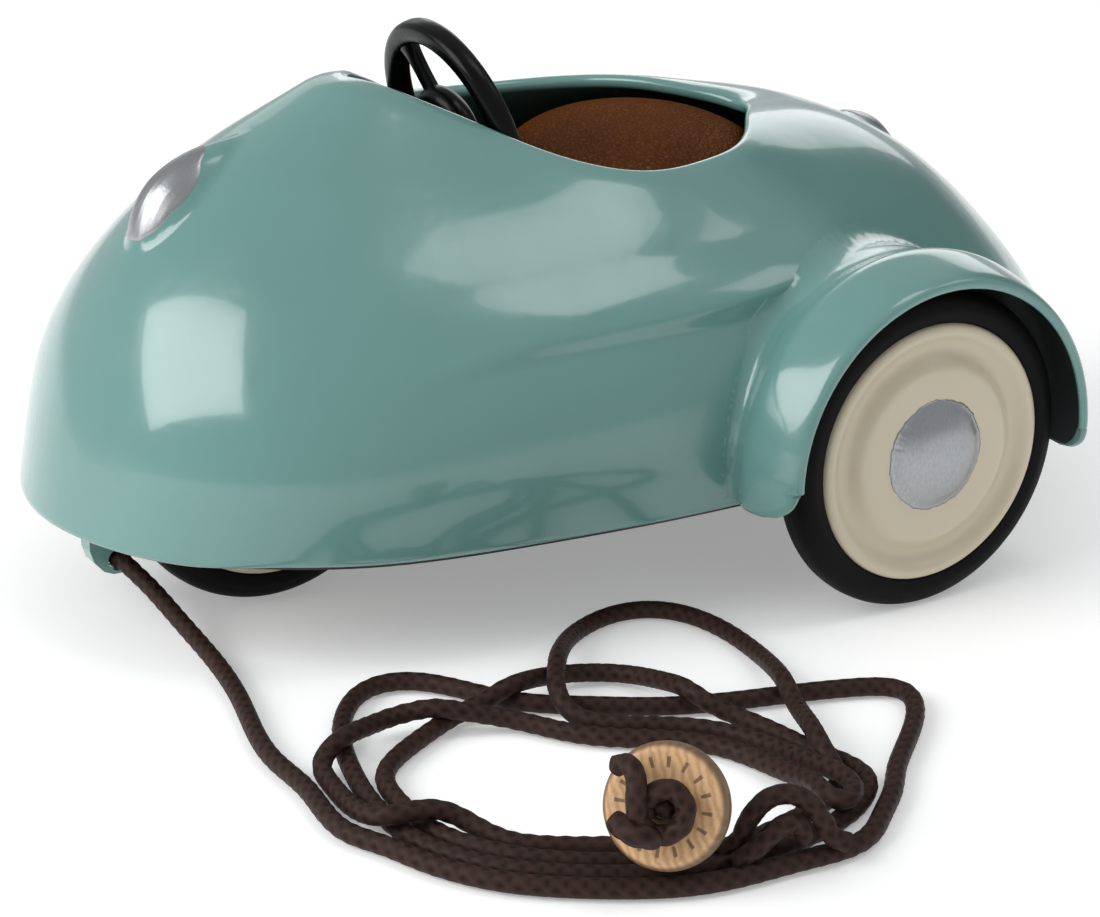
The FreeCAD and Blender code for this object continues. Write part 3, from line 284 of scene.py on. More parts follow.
class Nodes:
    """Adds shader nodes to a node tree.

    Inputs are given as {socket name or index: value, or the socket that feeds it}."""

    def __init__(self, tree):
        self.tree = tree

    def fill(self, node, inputs):
        for key, value in inputs.items():
            if isinstance(value, bpy.types.NodeSocket):
                self.tree.links.new(value, node.inputs[key])
            else:
                node.inputs[key].default_value = value

    def add(self, kind, inputs=None, **settings):
        node = self.tree.nodes.new("ShaderNode" + kind)
        for key, value in settings.items():
            setattr(node, key, value)
        self.fill(node, inputs or {})
        return node

    def remap(self, source, span, to=(0.0, 1.0)):
        return self.add("MapRange", {0: source, "From Min": span[0], "From Max": span[1],
                                     "To Min": to[0], "To Max": to[1]}).outputs[0]


class Surface(Nodes):
    """A material with one Principled shader, textured by object coordinates."""

    def __init__(self, name, textured=True):
        self.material = bpy.data.materials.new(name)
        self.material.use_nodes = True
        super().__init__(self.material.node_tree)
        self.tree.nodes.clear()
        self.output = self.add("OutputMaterial")
        self.bsdf = self.add("BsdfPrincipled")
        self.fill(self.output, {0: self.bsdf.outputs[0]})
        self.normal = None
        if textured:
            self.coords = self.add("TexCoord").outputs["Object"]

    def principled(self, inputs):
        self.fill(self.bsdf, inputs)

    def noise(self, scale, detail, rough, stretch=None, coords=None):
        coords = coords or self.coords
        if stretch is not None:
            coords = self.add("Mapping", {0: coords, "Scale": stretch}).outputs[0]
        return self.add("TexNoise", {"Scale": scale, "Detail": detail, "Roughness": rough,
                                     "Vector": coords}).outputs[0]

    def mix(self, factor, first, second):
        return self.add("Mix", {0: factor, 6: first, 7: second}, data_type="RGBA").outputs[2]

    def maths(self, operation, first, second):
        return self.add("Math", {0: first, 1: second}, operation=operation).outputs[0]

    def bump(self, height, strength, depth):
        """Adds a layer of relief over those before it; depth is in metres."""
        inputs = {"Strength": strength, "Distance": depth, "Height": height}
        if self.normal is not None:
            inputs["Normal"] = self.normal
        self.normal = self.add("Bump", inputs).outputs[0]
        self.principled({"Normal": self.normal})


# ------------------------------------------------------------------ materials


def enamel(name, colour, other, rough, coat, peel, pits=True):
    """Sprayed paint: two close colours in clouds, orange peel and scattered dark pits."""
    s = Surface(name)
    clouds = s.noise(scale=28.0, detail=3.0, rough=0.55)
    paint = s.mix(s.remap(clouds, span=(0.3, 0.7)), colour, other)
    if pits:
        cells = s.add("TexVoronoi", {"Scale": 160.0, "Vector": s.coords})
        chance = s.add("TexWhiteNoise", {"Vector": cells.outputs["Position"]}).outputs[0]
        near = s.remap(cells.outputs["Distance"], span=(0.035, 0.02))
        rare = s.maths("GREATER_THAN", chance, 0.86)
        pit = s.maths("MULTIPLY", near, rare)
        dark = tuple(c * 0.35 for c in colour[:3]) + (1.0,)
        paint = s.mix(s.maths("MULTIPLY", pit, 0.7), paint, dark)
    patches = s.noise(scale=60.0, detail=4.0, rough=0.6)
    s.principled({
        "Base Color": paint,
        "Roughness": s.remap(patches, span=(0.35, 0.7), to=(rough * 0.8, rough * 1.35)),
        "Coat Weight": coat,
        "Coat Roughness": 0.06,
    })
    s.bump(s.noise(scale=130.0, detail=2.0, rough=0.4), strength=peel, depth=0.00045)
    s.bump(s.noise(scale=430.0, detail=3.0, rough=0.5), strength=peel, depth=0.00010)
    s.bump(s.noise(scale=900.0, detail=2.0, rough=0.5), strength=peel * 0.5, depth=0.00004)
    if pits:
        s.bump(s.maths("MULTIPLY", pit, -1.0), strength=0.5, depth=0.0001)
    return s.material


def brushed(name, colour, other, rough, scale, stretch, metal=1.0, strength=0.35, blot=0.5):
    """Metal with drawn-out streaks and blotches."""
    s = Surface(name)
    streaks = s.noise(scale=scale, detail=4.0, rough=0.65, stretch=stretch)
    blotches = s.noise(scale=350.0, detail=3.0, rough=0.6)
    streak_rough = s.remap(streaks, span=(0.3, 0.7), to=(rough * 0.75, rough * 1.2))
    blotch_rough = s.remap(blotches, span=(0.4, 0.7), to=(0.0, blot * 0.15))
    s.principled({
        "Base Color": s.mix(s.remap(streaks, span=(0.3, 0.7)), colour, other),
        "Metallic": metal,
        "Roughness": s.maths("ADD", streak_rough, blotch_rough),
    })
    s.bump(streaks, strength=strength, depth=0.00004)
    s.bump(blotches, strength=strength, depth=0.00005)
    return s.material


def tyre_rubber():
    s = Surface("tyre_rubber")
    clouds = s.noise(scale=90.0, detail=4.0, rough=0.6)
    grain = s.noise(scale=2200.0, detail=3.0, rough=0.6)
    s.principled({
        "Base Color": s.mix(s.remap(clouds, span=(0.35, 0.7)), srgb(9, 9, 9), srgb(17, 16, 16)),
        "Roughness": s.remap(clouds, span=(0.3, 0.7), to=(0.5, 0.66)),
        "Specular IOR Level": 0.10,
    })
    s.bump(grain, strength=0.35, depth=0.00003)
    s.bump(clouds, strength=0.2, depth=0.0001)
    return s.material


def black_gloss():
    s = Surface("black_gloss_enamel")
    clouds = s.noise(scale=220.0, detail=4.0, rough=0.6)
    s.principled({
        "Base Color": s.mix(s.remap(clouds, span=(0.4, 0.75)), srgb(4, 4, 4), srgb(9, 9, 9)),
        "Roughness": s.remap(clouds, span=(0.3, 0.7), to=(0.16, 0.34)),
        "Specular IOR Level": 0.16,
    })
    s.bump(s.noise(scale=420.0, detail=2.0, rough=0.5), strength=0.3, depth=0.00015)
    return s.material


def brown_leather():
    """Cell-shaped grain with dark valleys, and a faint warm gloss over the whole."""
    s = Surface("brown_leather")
    wander = s.noise(scale=500.0, detail=2.0, rough=0.5)
    shift = s.add("CombineXYZ", {0: wander, 1: wander, 2: wander}).outputs[0]
    shifted = s.add("VectorMath", {0: shift, 1: (0.0008, 0.0008, 0.0008), 2: s.coords},
                    operation="MULTIPLY_ADD").outputs[0]
    cells = s.add("TexVoronoi", {"Scale": 1500.0, "Vector": shifted},
                  feature="DISTANCE_TO_EDGE")
    grain = s.remap(cells.outputs["Distance"], span=(0.0, 0.28))
    clouds = s.noise(scale=70.0, detail=4.0, rough=0.6)
    pores = s.noise(scale=2600.0, detail=3.0, rough=0.6)
    hide = s.mix(s.remap(clouds, span=(0.3, 0.7)), srgb(86, 43, 9), srgb(106, 56, 15))
    valleys = s.maths("MULTIPLY", s.maths("SUBTRACT", 1.0, grain), 0.55)
    s.principled({
        "Base Color": s.mix(valleys, hide, srgb(36, 14, 4)),
        "Roughness": s.remap(clouds, span=(0.3, 0.7), to=(0.46, 0.60)),
        "Specular IOR Level": 0.0,
    })
    s.bump(grain, strength=0.85, depth=0.00012)
    s.bump(pores, strength=0.3, depth=0.00003)
    s.bump(clouds, strength=0.35, depth=0.0004)
    gloss = s.add("BsdfGlossy", {"Color": (1.0, 0.86, 0.72, 1.0), "Roughness": 0.27,
                                 "Normal": s.normal})
    gloss_share = 0.018
    blend = s.add("MixShader", {0: gloss_share, 1: s.bsdf.outputs[0], 2: gloss.outputs[0]})
    s.fill(s.output, {0: blend.outputs[0]})
    return s.material


def waxed_cord():
    """A point attribute, high on the crowns of the strands, sets painted shade in the valleys between
    them and a painted highlight on the crowns.
    """
    s = Surface("waxed_cord")
    weave_painted_light = s.add("Attribute", attribute_name="weave_painted_light").outputs["Fac"]
    clouds = s.noise(scale=260.0, detail=4.0, rough=0.6)
    fibre = s.noise(scale=3500.0, detail=3.0, rough=0.6)
    # painted shade in the valleys between strands, painted highlight on their crowns
    colour = s.mix(s.remap(weave_painted_light, span=(0.15, 0.9)), srgb(24, 15, 13), srgb(62, 44, 39))
    worn = s.remap(clouds, span=(0.5, 0.8), to=(0.0, 0.5))
    s.principled({
        "Base Color": s.mix(worn, colour, srgb(68, 52, 46)),
        "Roughness": s.remap(clouds, span=(0.3, 0.7), to=(0.42, 0.6)),
        "Specular IOR Level": 0.12,
    })
    s.bump(fibre, strength=0.6, depth=0.00005)
    return s.material


def oiled_wood():
    """Banded grain across the object's axes; a point attribute darkens it and sinks it a little."""
    s = Surface("oiled_wood")
    darkening = s.add("Attribute", attribute_name="darkening").outputs["Fac"]
    turned = s.add("Mapping", {0: s.coords, "Rotation": (0.7, 0.5, 0.2)}).outputs[0]
    bands = s.add("TexWave", {"Scale": 420.0, "Distortion": 4.5, "Detail": 4.0,
                              "Detail Scale": 1.6, "Vector": turned},
                  wave_type="BANDS").outputs["Fac"]
    pores = s.noise(scale=1500.0, detail=3.0, rough=0.6, stretch=(1, 9, 1), coords=turned)
    grain = s.mix(s.remap(bands, span=(0.2, 0.9)), srgb(212, 172, 128), srgb(192, 148, 104))
    pored = s.mix(s.remap(pores, span=(0.55, 0.75), to=(0.0, 0.45)), grain, srgb(150, 108, 70))
    s.principled({"Base Color": s.mix(darkening, pored, srgb(52, 34, 22)), "Roughness": 0.5})
    s.bump(bands, strength=0.25, depth=0.00006)
    s.bump(pores, strength=0.3, depth=0.00004)
    s.bump(s.maths("MULTIPLY", darkening, -1.0), strength=0.4, depth=0.0001)
    return s.material


TEAL = enamel("teal_enamel", srgb(104, 147, 142), srgb(98, 140, 135),
              rough=0.19, coat=0.55, peel=0.26)
# dark painted shade for the shaded inside of the cockpit, the inner faces of the fenders and the dash
INSIDE_PAINTED_SHADE = enamel("inside_painted_shade", srgb(26, 32, 31), srgb(17, 21, 21),
                    rough=0.5, coat=0.0, peel=0.4, pits=False)
UNDER = enamel("underside_paint", srgb(42, 46, 46), srgb(30, 33, 33),
               rough=0.45, coat=0.1, peel=0.5, pits=False)
CREAM = enamel("cream_enamel", srgb(205, 194, 170), srgb(199, 188, 163),
               rough=0.36, coat=0.25, peel=0.25)
SILVER = brushed("silver_paint", srgb(170, 172, 174), srgb(154, 156, 158), rough=0.33,
                 scale=1600.0, stretch=(1.0, 3.0, 1.0), metal=0.95, strength=0.12, blot=0.2)
STEEL = brushed("drawn_steel", srgb(176, 178, 180), srgb(140, 142, 146),
                rough=0.28, scale=500, stretch=(1, 8, 8))
PLATE = brushed("pressed_steel", srgb(150, 152, 152), srgb(118, 121, 122),
                rough=0.42, scale=300, stretch=(1, 1, 4))
BLUED = brushed("blued_spring", srgb(52, 60, 82), srgb(40, 44, 56),
                rough=0.3, scale=400, stretch=(6, 1, 1))
BRASS = brushed("turned_brass", srgb(205, 170, 95), srgb(168, 134, 70),
                rough=0.3, scale=400, stretch=(6, 1, 1))
CAST = enamel("rough_casting", srgb(48, 48, 47), srgb(34, 34, 34),
              rough=0.6, coat=0.0, peel=1.2)
RUBBER = tyre_rubber()
BLACK = black_gloss()
LEATHER = brown_leather()
CORD_WAX = waxed_cord()
WOOD = oiled_wood()

# ------------------------------------------------------------------ body surface
# Control net of the body's left half, as the CAD skin has it. One station per entry, nose to
# tail; each runs from the hem up to the cockpit rim as (x, y, z).
HEM_Z = 0.35
HALF_NET = np.array([
    [(0, -62.83, 0.35), (0, -61.45, 7.11), (0, -58.82, 14.98), (0, -54.97, 23.46),
     (0, -49.33, 31.92), (0, -41.59, 39.65), (0, -31.8, 46.03), (0, -20.27, 50.93)],
    [(12.09, -60.74, 0.35), (11.24, -59.08, 7.19), (11, -57.25, 14.98), (10.53, -53.72, 23.21),
     (9.62, -48, 31.43), (8.42, -40.06, 39.1), (6.99, -29.82, 45.56), (5.17, -16.86, 50.18)],
    [(22.92, -54.96, 0.35), (22.45, -54.68, 7.39), (21.76, -53.35, 14.88), (20.39, -49.8, 22.53),
     (18.38, -43.94, 30.17), (15.83, -35.88, 37.41), (12.65, -25.62, 43.65), (8.56, -12.99, 48.14)],
    [(31.16, -45.84, 0.35), (31.54, -47.14, 7.34), (30.66, -46.19, 14.46), (28.68, -42.92, 21.6),
     (25.82, -37.45, 28.61), (22.11, -29.91, 35.23), (17.51, -20.4, 41.14), (11.94, -8.95, 46.1)],
    [(37.16, -35.19, 0.35), (37.76, -36.71, 7.15), (36.98, -36.16, 13.93), (34.92, -33.57, 20.61),
     (31.7, -29.05, 27.06), (27.41, -22.74, 33.18), (22.08, -14.8, 38.87), (15.75, -5.32, 44.14)],
    [(39.84, -23.24, 0.35), (41.14, -24.58, 6.98), (40.89, -24.37, 13.46), (39.16, -22.59, 19.74),
     (36.08, -19.32, 25.78), (31.77, -14.68, 31.56), (26.37, -8.87, 37.11), (19.97, -1.99, 42.45)],
    [(41.37, -11.19, 0.35), (43.03, -12, 6.87), (43.17, -11.88, 13.12), (41.83, -10.79, 19.12),
     (39.09, -8.76, 24.88), (35.11, -5.9, 30.43), (30.01, -2.34, 35.83), (23.84, 1.85, 41.1)],
    [(42.73, 0.9, 0.35), (44.27, 0.63, 6.81), (44.49, 0.77, 12.93), (43.36, 1.31, 18.75),
     (40.91, 2.22, 24.34), (37.25, 3.45, 29.74), (32.56, 4.91, 34.98), (26.98, 6.54, 40.07)],
    [(43.11, 13.05, 0.35), (44.77, 13.25, 6.8), (45.06, 13.4, 12.87), (44, 13.44, 18.61),
     (41.64, 13.35, 24.11), (38.06, 13.1, 29.42), (33.39, 12.71, 34.61), (27.75, 12.23, 39.68)],
    [(43.1, 25.21, 0.35), (44.74, 25.84, 6.83), (44.94, 25.94, 12.92), (43.75, 25.45, 18.66),
     (41.23, 24.37, 24.14), (37.49, 22.69, 29.44), (32.57, 20.48, 34.65), (26.45, 17.74, 39.83)],
    [(42.84, 37.37, 0.35), (44.13, 38.35, 6.88), (43.96, 38.28, 13.06), (42.39, 37.14, 18.89),
     (39.53, 34.95, 24.44), (35.56, 31.82, 29.78), (30.65, 27.87, 34.97), (24.97, 23.17, 40.05)],
    [(41.2, 49.44, 0.35), (42.23, 50.61, 6.92), (41.63, 50.15, 13.24), (39.58, 48.13, 19.3),
     (36.35, 44.7, 25.06), (32.2, 40.08, 30.52), (27.35, 34.45, 35.67), (21.91, 27.96, 40.5)],
    [(37.98, 61.2, 0.35), (38.48, 62.28, 6.86), (37.35, 61.08, 13.37), (34.92, 57.9, 19.82),
     (31.53, 53.15, 26.03), (27.47, 47.12, 31.77), (22.85, 39.95, 36.82), (17.7, 31.68, 41.06)],
    [(32.34, 72.09, 0.35), (32.2, 72.69, 6.71), (30.66, 70.37, 13.41), (28.19, 65.88, 20.4),
     (25.14, 59.91, 27.31), (21.64, 52.77, 33.48), (17.66, 44.45, 38.28), (13.3, 34.5, 41.35)],
    [(23.5, 80.75, 0.35), (23.08, 80.82, 6.58), (21.62, 77.46, 13.48), (19.65, 71.77, 21.04),
     (17.49, 64.81, 28.72), (15.03, 56.83, 35.19), (12.04, 47.88, 39.44), (8.9, 37.6, 40.95)],
    [(12.14, 85.5, 0.35), (11.91, 85.88, 6.65), (11.08, 82.18, 13.85), (10.06, 75.72, 21.85),
     (9.08, 67.85, 29.81), (7.81, 58.95, 35.85), (6.01, 49.93, 39.7), (4.3, 40.9, 40.3)],
    [(0, 87.17, 0.35), (0, 87.78, 6.75), (0, 84.02, 14.15), (0, 77.24, 22.21),
     (0, 68.65, 29.79), (0, 59.18, 35.75), (0, 50.4, 39.65), (0, 42.7, 39.6)],
], float)
NET = np.concatenate([HALF_NET, HALF_NET[15:0:-1] * np.array([-1.0, 1, 1])])
HEIGHT_KNOTS = [0, 0, 0, 0, 1, 2, 3, 4, 5, 5, 5, 5]

AROUND = 416                      # steps round the body
HEIGHTS = np.concatenate([        # spline parameters from hem to rim, closer at both edges
    np.linspace(0, 0.25, 10, endpoint=False),
    np.linspace(0.25, 4.75, 112, endpoint=False),
    np.linspace(4.75, 5.0, 10)])
INSIDE_HEIGHTS = np.linspace(HEIGHTS[-1] - 0.22, 0.0, 34)

# the pressed line along each flank, as heights over y
FLANK_Y = [-40, -24.6, -18.7, -13.4, -1.8, 10.5, 21.9, 28.6, 34.0, 45.0]
FLANK_Z = [19.0, 22.9, 24.2, 24.9, 25.5, 26.0, 26.7, 27.2, 27.6, 27.6]

# pressed lamp blisters: middle, direction of the long axis, direction outwards
NOSE_LAMP = ((0, -41.093, 37.695), (0, 0.770, 0.638), (0, -0.633, 0.774))
TAIL_LAMP = ((0, 63.182, 32.290), (0, -0.857, 0.516), (0, 0.516, 0.857))


def around_weights(u):
    """Weights of the net's stations at u, for a closed cubic spline."""
    weights = np.zeros(len(NET))
    start = int(math.floor(u))
    for k, weight in enumerate(bspline_weights(u - start)):
        weights[(start - 1 + k) % len(NET)] += weight
    return weights


def height_weights(v):
    """Weights of the net's eight levels at v, by the Cox-de Boor recursion."""
    knots = HEIGHT_KNOTS
    v = min(max(v, 0.0), 5.0 - 1e-9)
    basis = [1.0 if knots[i] <= v < knots[i + 1] else 0.0 for i in range(11)]
    for degree in range(1, 4):
        raised = []
        for i in range(11 - degree):
            rise, fall = knots[i + degree] - knots[i], knots[i + degree + 1] - knots[i + 1]
            a = (v - knots[i]) / rise * basis[i] if rise > 0 else 0.0
            b = (knots[i + degree + 1] - v) / fall * basis[i + 1] if fall > 0 else 0.0
            raised.append(a + b)
        basis = raised
    return np.array(basis)


def net_surface(heights):
    around = np.array([around_weights(u) for u in np.arange(AROUND) * len(NET) / AROUND])
    levels = np.array([height_weights(v) for v in heights])
    return np.einsum("ai,ijk,bj->abk", around, NET, levels)


def grid_normals(grid):
    around = np.roll(grid, -1, 0) - np.roll(grid, 1, 0)
    normals = np.cross(around, np.gradient(grid, axis=1))
    normals /= np.linalg.norm(normals, axis=2, keepdims=True) + 1e-12
    body_middle = np.array([0, -2, 14.0])
    return normals * np.sign((normals * (grid - body_middle)).sum(2))[..., None]


def lamp_axes(lamp):
    """Unit vectors along a lamp, across it and outwards."""
    along = unit(np.array(lamp[1], float))
    out = np.array(lamp[2], float)
    out = unit(out - along * out.dot(along))
    return along, np.cross(out, along), out


def lamp_coordinates(lamp, points):
    offset = points - np.array(lamp[0])
    return [offset @ axis for axis in lamp_axes(lamp)]


def flank_line(grid, normals):
    """A ridge that starts on the flank and runs back into the top of each rear fender."""
    raised, sunk, step = 0.95, 0.35, 2.8
    y, z = grid[..., 1], grid[..., 2]
    steepness = np.sqrt(np.clip(1 - normals[..., 2] ** 2, 0.15, 1))
    up = (z - np.interp(y, FLANK_Y, FLANK_Z)) / steepness
    strength = (smoothstep((y + 34) / 26.0) * (1 - smoothstep((y - 26) / 16.0))
                * (0.75 + 0.45 * smoothstep((y + 5) / 25.0)))
    above = raised * (1 - smoothstep(up / 9.0))
    edge = -sunk + (raised + sunk) * (0.5 + 0.5 * np.cos(np.pi * np.clip(-up / step, 0, 1)))
    below = -sunk * (1 - smoothstep((-up - step) / 12.0))
    return strength * np.where(up > 0, above, np.where(up > -step, edge, below))


def nose_blister(grid):
    """Rounded at the low front end, drawn out up the hood behind."""
    along, across, out = lamp_coordinates(NOSE_LAMP, grid)
    along = along + 1.0
    half_length = np.where(along < 0, 9.0, 12.0)
    half_width = 5.5 * (1 - 0.42 * np.clip(along / 12.0, 0, 1))
    reach = np.sqrt((along / half_length) ** 2 + (across / half_width) ** 2)
    return np.where(out > -12, 3.4 * np.clip(1 - reach ** 2, 0, 1) ** 1.35, 0)


def tail_blister(grid):
    along, across, out = lamp_coordinates(TAIL_LAMP, grid)
    reach = np.sqrt((along / 6.4) ** 2 + (across / 4.2) ** 2)
    return np.where(out > -8, 1.7 * np.clip(1 - reach ** 2, 0, 1) ** 1.5, 0)


def hood_groove(grid):
    """A faint hollow along the middle of the hood."""
    x, y, z = np.moveaxis(grid, 2, 0)
    return (-0.14 * np.exp(-(x / 2.2) ** 2) * smoothstep((y + 42) / 16.0)
            * (y < -5) * (z > 30))


def rim_roll(grid):
    """Draws the skin in at the cockpit rim, more so at its front, with a swell below."""
    steps = np.linalg.norm(np.diff(grid, axis=1), axis=2)
    below_rim = np.concatenate(
        [np.cumsum(steps[:, ::-1], axis=1)[:, ::-1], np.zeros((AROUND, 1))], 1)
    rim_x, rim_y = grid[:, -1, 0], grid[:, -1, 1]
    front = (smoothstep((-6.0 - rim_y) / 8.0) * np.exp(-(rim_x / 9.0) ** 2))[:, None]
    width = 2.4 + 2.6 * front
    return (-(0.25 + 0.75 * front) * np.clip(1 - below_rim / width, 0, 1) ** 2
            + 0.40 * front * np.exp(-((below_rim - 2.0) / 6.0) ** 2))


def drop_nose_hem(grid):
    """Lowers the hem under the nose."""
    low = np.clip(1 - grid[..., 2] / 9.0, 0, 1)
    grid[..., 2] -= 0.7 * low * smoothstep((-43.0 - grid[..., 1]) / 11.0)


def turn_in_hem(grid, normals):
    radius = 1.0
    rise = grid[..., 2] - HEM_Z
    arc = np.sqrt(np.clip(radius ** 2 - (radius - rise) ** 2, 0, None))
    inward = np.where(rise < radius, radius - arc, 0.0)
    level = normals.copy()
    level[..., 2] = 0
    level /= np.linalg.norm(level, axis=2, keepdims=True) + 1e-9
    return grid - level * inward[..., None]


def rolled_lip(outside):
    """The cockpit lip: half a turn from the outer skin over and down inside."""
    radius = 0.95
    top = outside[:, -1]
    around = unit(np.roll(top, -1, 0) - np.roll(top, 1, 0))
    rise = unit(top - outside[:, -4])
    rise = unit(rise - around * (rise * around).sum(1, keepdims=True))
    out = np.cross(around, rise)
    out *= np.sign((out * grid_normals(outside)[:, -1]).sum(1, keepdims=True))
    centre = top - out * radius
    return np.stack([centre + radius * (math.cos(a) * out + math.sin(a) * rise)
                     for a in np.linspace(0, math.pi, 13)[1:]], 1)


def inside_skin(relief):
    grid = net_surface(INSIDE_HEIGHTS)
    inner_relief = np.stack([np.interp(INSIDE_HEIGHTS, HEIGHTS, row) for row in relief])
    thickness = 1.2 + 0.7 * np.exp(-np.arange(len(INSIDE_HEIGHTS)) / 2.2)
    inside = grid + grid_normals(grid) * (inner_relief - thickness[None, :])[..., None]
    inside[:, -1, 2] = HEM_Z
    drop_nose_hem(inside)
    return inside


def body_skin():
    """Builds the body and returns its outer surface as a grid of points."""
    grid = net_surface(HEIGHTS)
    normals = grid_normals(grid)
    relief = (flank_line(grid, normals) + nose_blister(grid) + tail_blister(grid)
              + hood_groove(grid) + rim_roll(grid))
    outside = turn_in_hem(grid + normals * relief[..., None], normals)
    drop_nose_hem(outside)
    lip = rolled_lip(outside)
    shell = np.concatenate([outside, lip, inside_skin(relief)], 1)
    columns = shell.shape[1]
    painted = outside.shape[1] + lip.shape[1] + 5
    face_material = []
    for rim_y in grid[:, -1, 1]:
        # past the teal rows the inside gets dark painted shade; the body colour reaches further down
        # inside at the back of the cockpit, where the wall is lit
        extra = int(round(13 * float(smoothstep((rim_y - 14.0) / 22.0))))
        face_material += [0 if j < painted + extra else 1 for j in range(columns)]
    body = piece("body_skin", shell.reshape(-1, 3), grid_faces(AROUND, columns, True, True),
                 TEAL, INSIDE_PAINTED_SHADE, face_material=face_material)
    face_outwards(body)
    register(body, "chassis", ["body_shell"])
    return outside


OUTSIDE = body_skin()
SKIN_TREE = BVHTree.FromPolygons(OUTSIDE.reshape(-1, 3).tolist(),
                                 grid_faces(AROUND, OUTSIDE.shape[1]))


def skin_hit(origin, direction):
    place = SKIN_TREE.ray_cast(Vector(origin), Vector(direction).normalized())[0]
    return None if place is None else np.array(place)


def skin_nearest(point):
    """The nearest place on the body and its normal."""
    place, normal = SKIN_TREE.find_nearest(Vector(point))[:2]
    return np.array(place), np.array(normal)


# ------------------------------------------------------------------ lamps


def painted_patch(name, lamp, outline, replaced, rings, segments):
    """A thin skin of silver paint laid on a blister inside outline(angle)."""
    thickness, depth = 0.07, 0.35
    middle = np.array(lamp[0])
    along, across, out = lamp_axes(lamp)
    points = []
    for ring in range(rings + 1):
        share = ring / rings
        edge = min(1.0, (1 - share) / 0.06)
        lift = thickness * (0.25 + 0.75 * math.sqrt(edge))
        for j in range(segments):
            u, v = outline(2 * math.pi * j / segments)
            start = middle + along * u * share + across * v * share + out * 9.0
            place = skin_hit(start, -out)
            if place is None:
                place = skin_nearest(start)[0]
            normal = skin_nearest(place)[1]
            if np.dot(normal, out) < 0:
                normal = -normal
            points.append(place + normal * lift)
    # a sunk back: the rim again and one middle point
    rim, back = rings * segments, (rings + 1) * segments
    points += [points[rim + j] - out * depth for j in range(segments)]
    points.append(points[0] - out * depth)
    faces = grid_faces(rings + 1, segments, False, True)
    for j in range(segments):
        k = (j + 1) % segments
        faces.append((rim + j, rim + k, back + k, back + j))
        faces.append((back + j, back + k, back + segments))
    ob = piece(name, points, faces, SILVER)
    weld(ob)
    register(ob, "chassis", [replaced])


def nose_outline(angle):
    """Rounded low end, narrower upper end and a slightly uneven brushed edge."""
    c, s = math.cos(angle), math.sin(angle)
    waver = 1 + 0.014 * math.sin(5 * angle + 1.0) + 0.008 * math.sin(11 * angle + 0.4)
    taper = 1 - 0.40 * max(c, 0) ** 1.5
    return 7.3 * c * waver - 1.1, 4.35 * s * taper * waver


def tail_outline(angle):
    waver = 1 + 0.02 * math.sin(6 * angle + 2.0) + 0.015 * math.sin(11 * angle)
    return 4.6 * math.cos(angle) * waver, 3.0 * math.sin(angle) * waver


painted_patch("nose_lamp_silver", NOSE_LAMP, nose_outline, "nose_lamp", rings=40, segments=180)
painted_patch("tail_lamp_silver", TAIL_LAMP, tail_outline, "tail_lamp", rings=16, segments=80)

# ------------------------------------------------------------------ rear fenders
# Outer section from the free edge in to the body: (x, distance from the rear axle).
FENDER_SECTION = smooth_line([
    (56.05, 21.75), (56.28, 22.15), (56.1, 22.7), (55.3, 23.25), (53.4, 23.85), (50.6, 24.48),
    (48.7, 24.76), (47.3, 24.66), (46.0, 24.25), (44.2, 23.62), (42.4, 23.3), (39.6, 23.1),
    (35.0, 22.3), (30.0, 21.4), (26.0, 20.6)], 260)
_slopes = np.gradient(FENDER_SECTION, axis=0)
SECTION_NORMALS = unit(np.stack([_slopes[:, 1], -_slopes[:, 0]], 1))   # away from the wheel
FENDER_THICK = 0.95
FENDER_STEPS = 200
FENDER_START, FENDER_END = math.radians(-100.0), math.radians(100.0)   # from straight up
CORNER_RADIUS = 5.2
OUTER_POINTS, FILLET_POINTS, INNER_POINTS, EDGE_POINTS = 40, 14, 30, 7


def fender_place(point, angle):
    outward = np.array([0, math.sin(angle), math.cos(angle)])
    return np.array([point[0], 0, 0]) + REAR_AXLE + outward * point[1]


def at_index(table, index):
    """A row of a two-column table at a fractional index."""
    return np.array([np.interp(index, range(len(table)), column) for column in table.T])


def fender_first(from_end):
    """Index of the section's first point: the lower corners are rounded off."""
    first = 0
    if from_end < CORNER_RADIUS:
        drop = math.sqrt(max(CORNER_RADIUS ** 2 - (CORNER_RADIUS - from_end) ** 2, 0.0))
        edge_x = 56.2 - (CORNER_RADIUS - drop)
        while first < 120 and FENDER_SECTION[first, 0] > edge_x:
            first += 1
    return first


def fender_meets_body(angle):
    """Index of the first section point that lies inside the body."""
    for k in range(60, len(FENDER_SECTION)):
        place = fender_place(FENDER_SECTION[k], angle)
        skin = skin_hit((80.0, place[1], place[2]), (-1, 0, 0))
        if skin is not None and skin[0] > place[0]:
            return k
    return len(FENDER_SECTION) - 1


def fender_landing(meet, fillet, angle):
    """Where the fillet lands on the body, further from the axle than the meeting point."""
    for reach in (fillet, fillet * 0.8, fillet * 0.6, fillet * 0.4):
        skin = skin_hit(fender_place((80.0, meet[1] + reach), angle), (-1, 0, 0))
        if skin is not None and abs(skin[0] - meet[0]) < 4.5 * reach:
            return np.array([skin[0], meet[1] + reach])
    return meet + np.array([-1.0, 0.2])


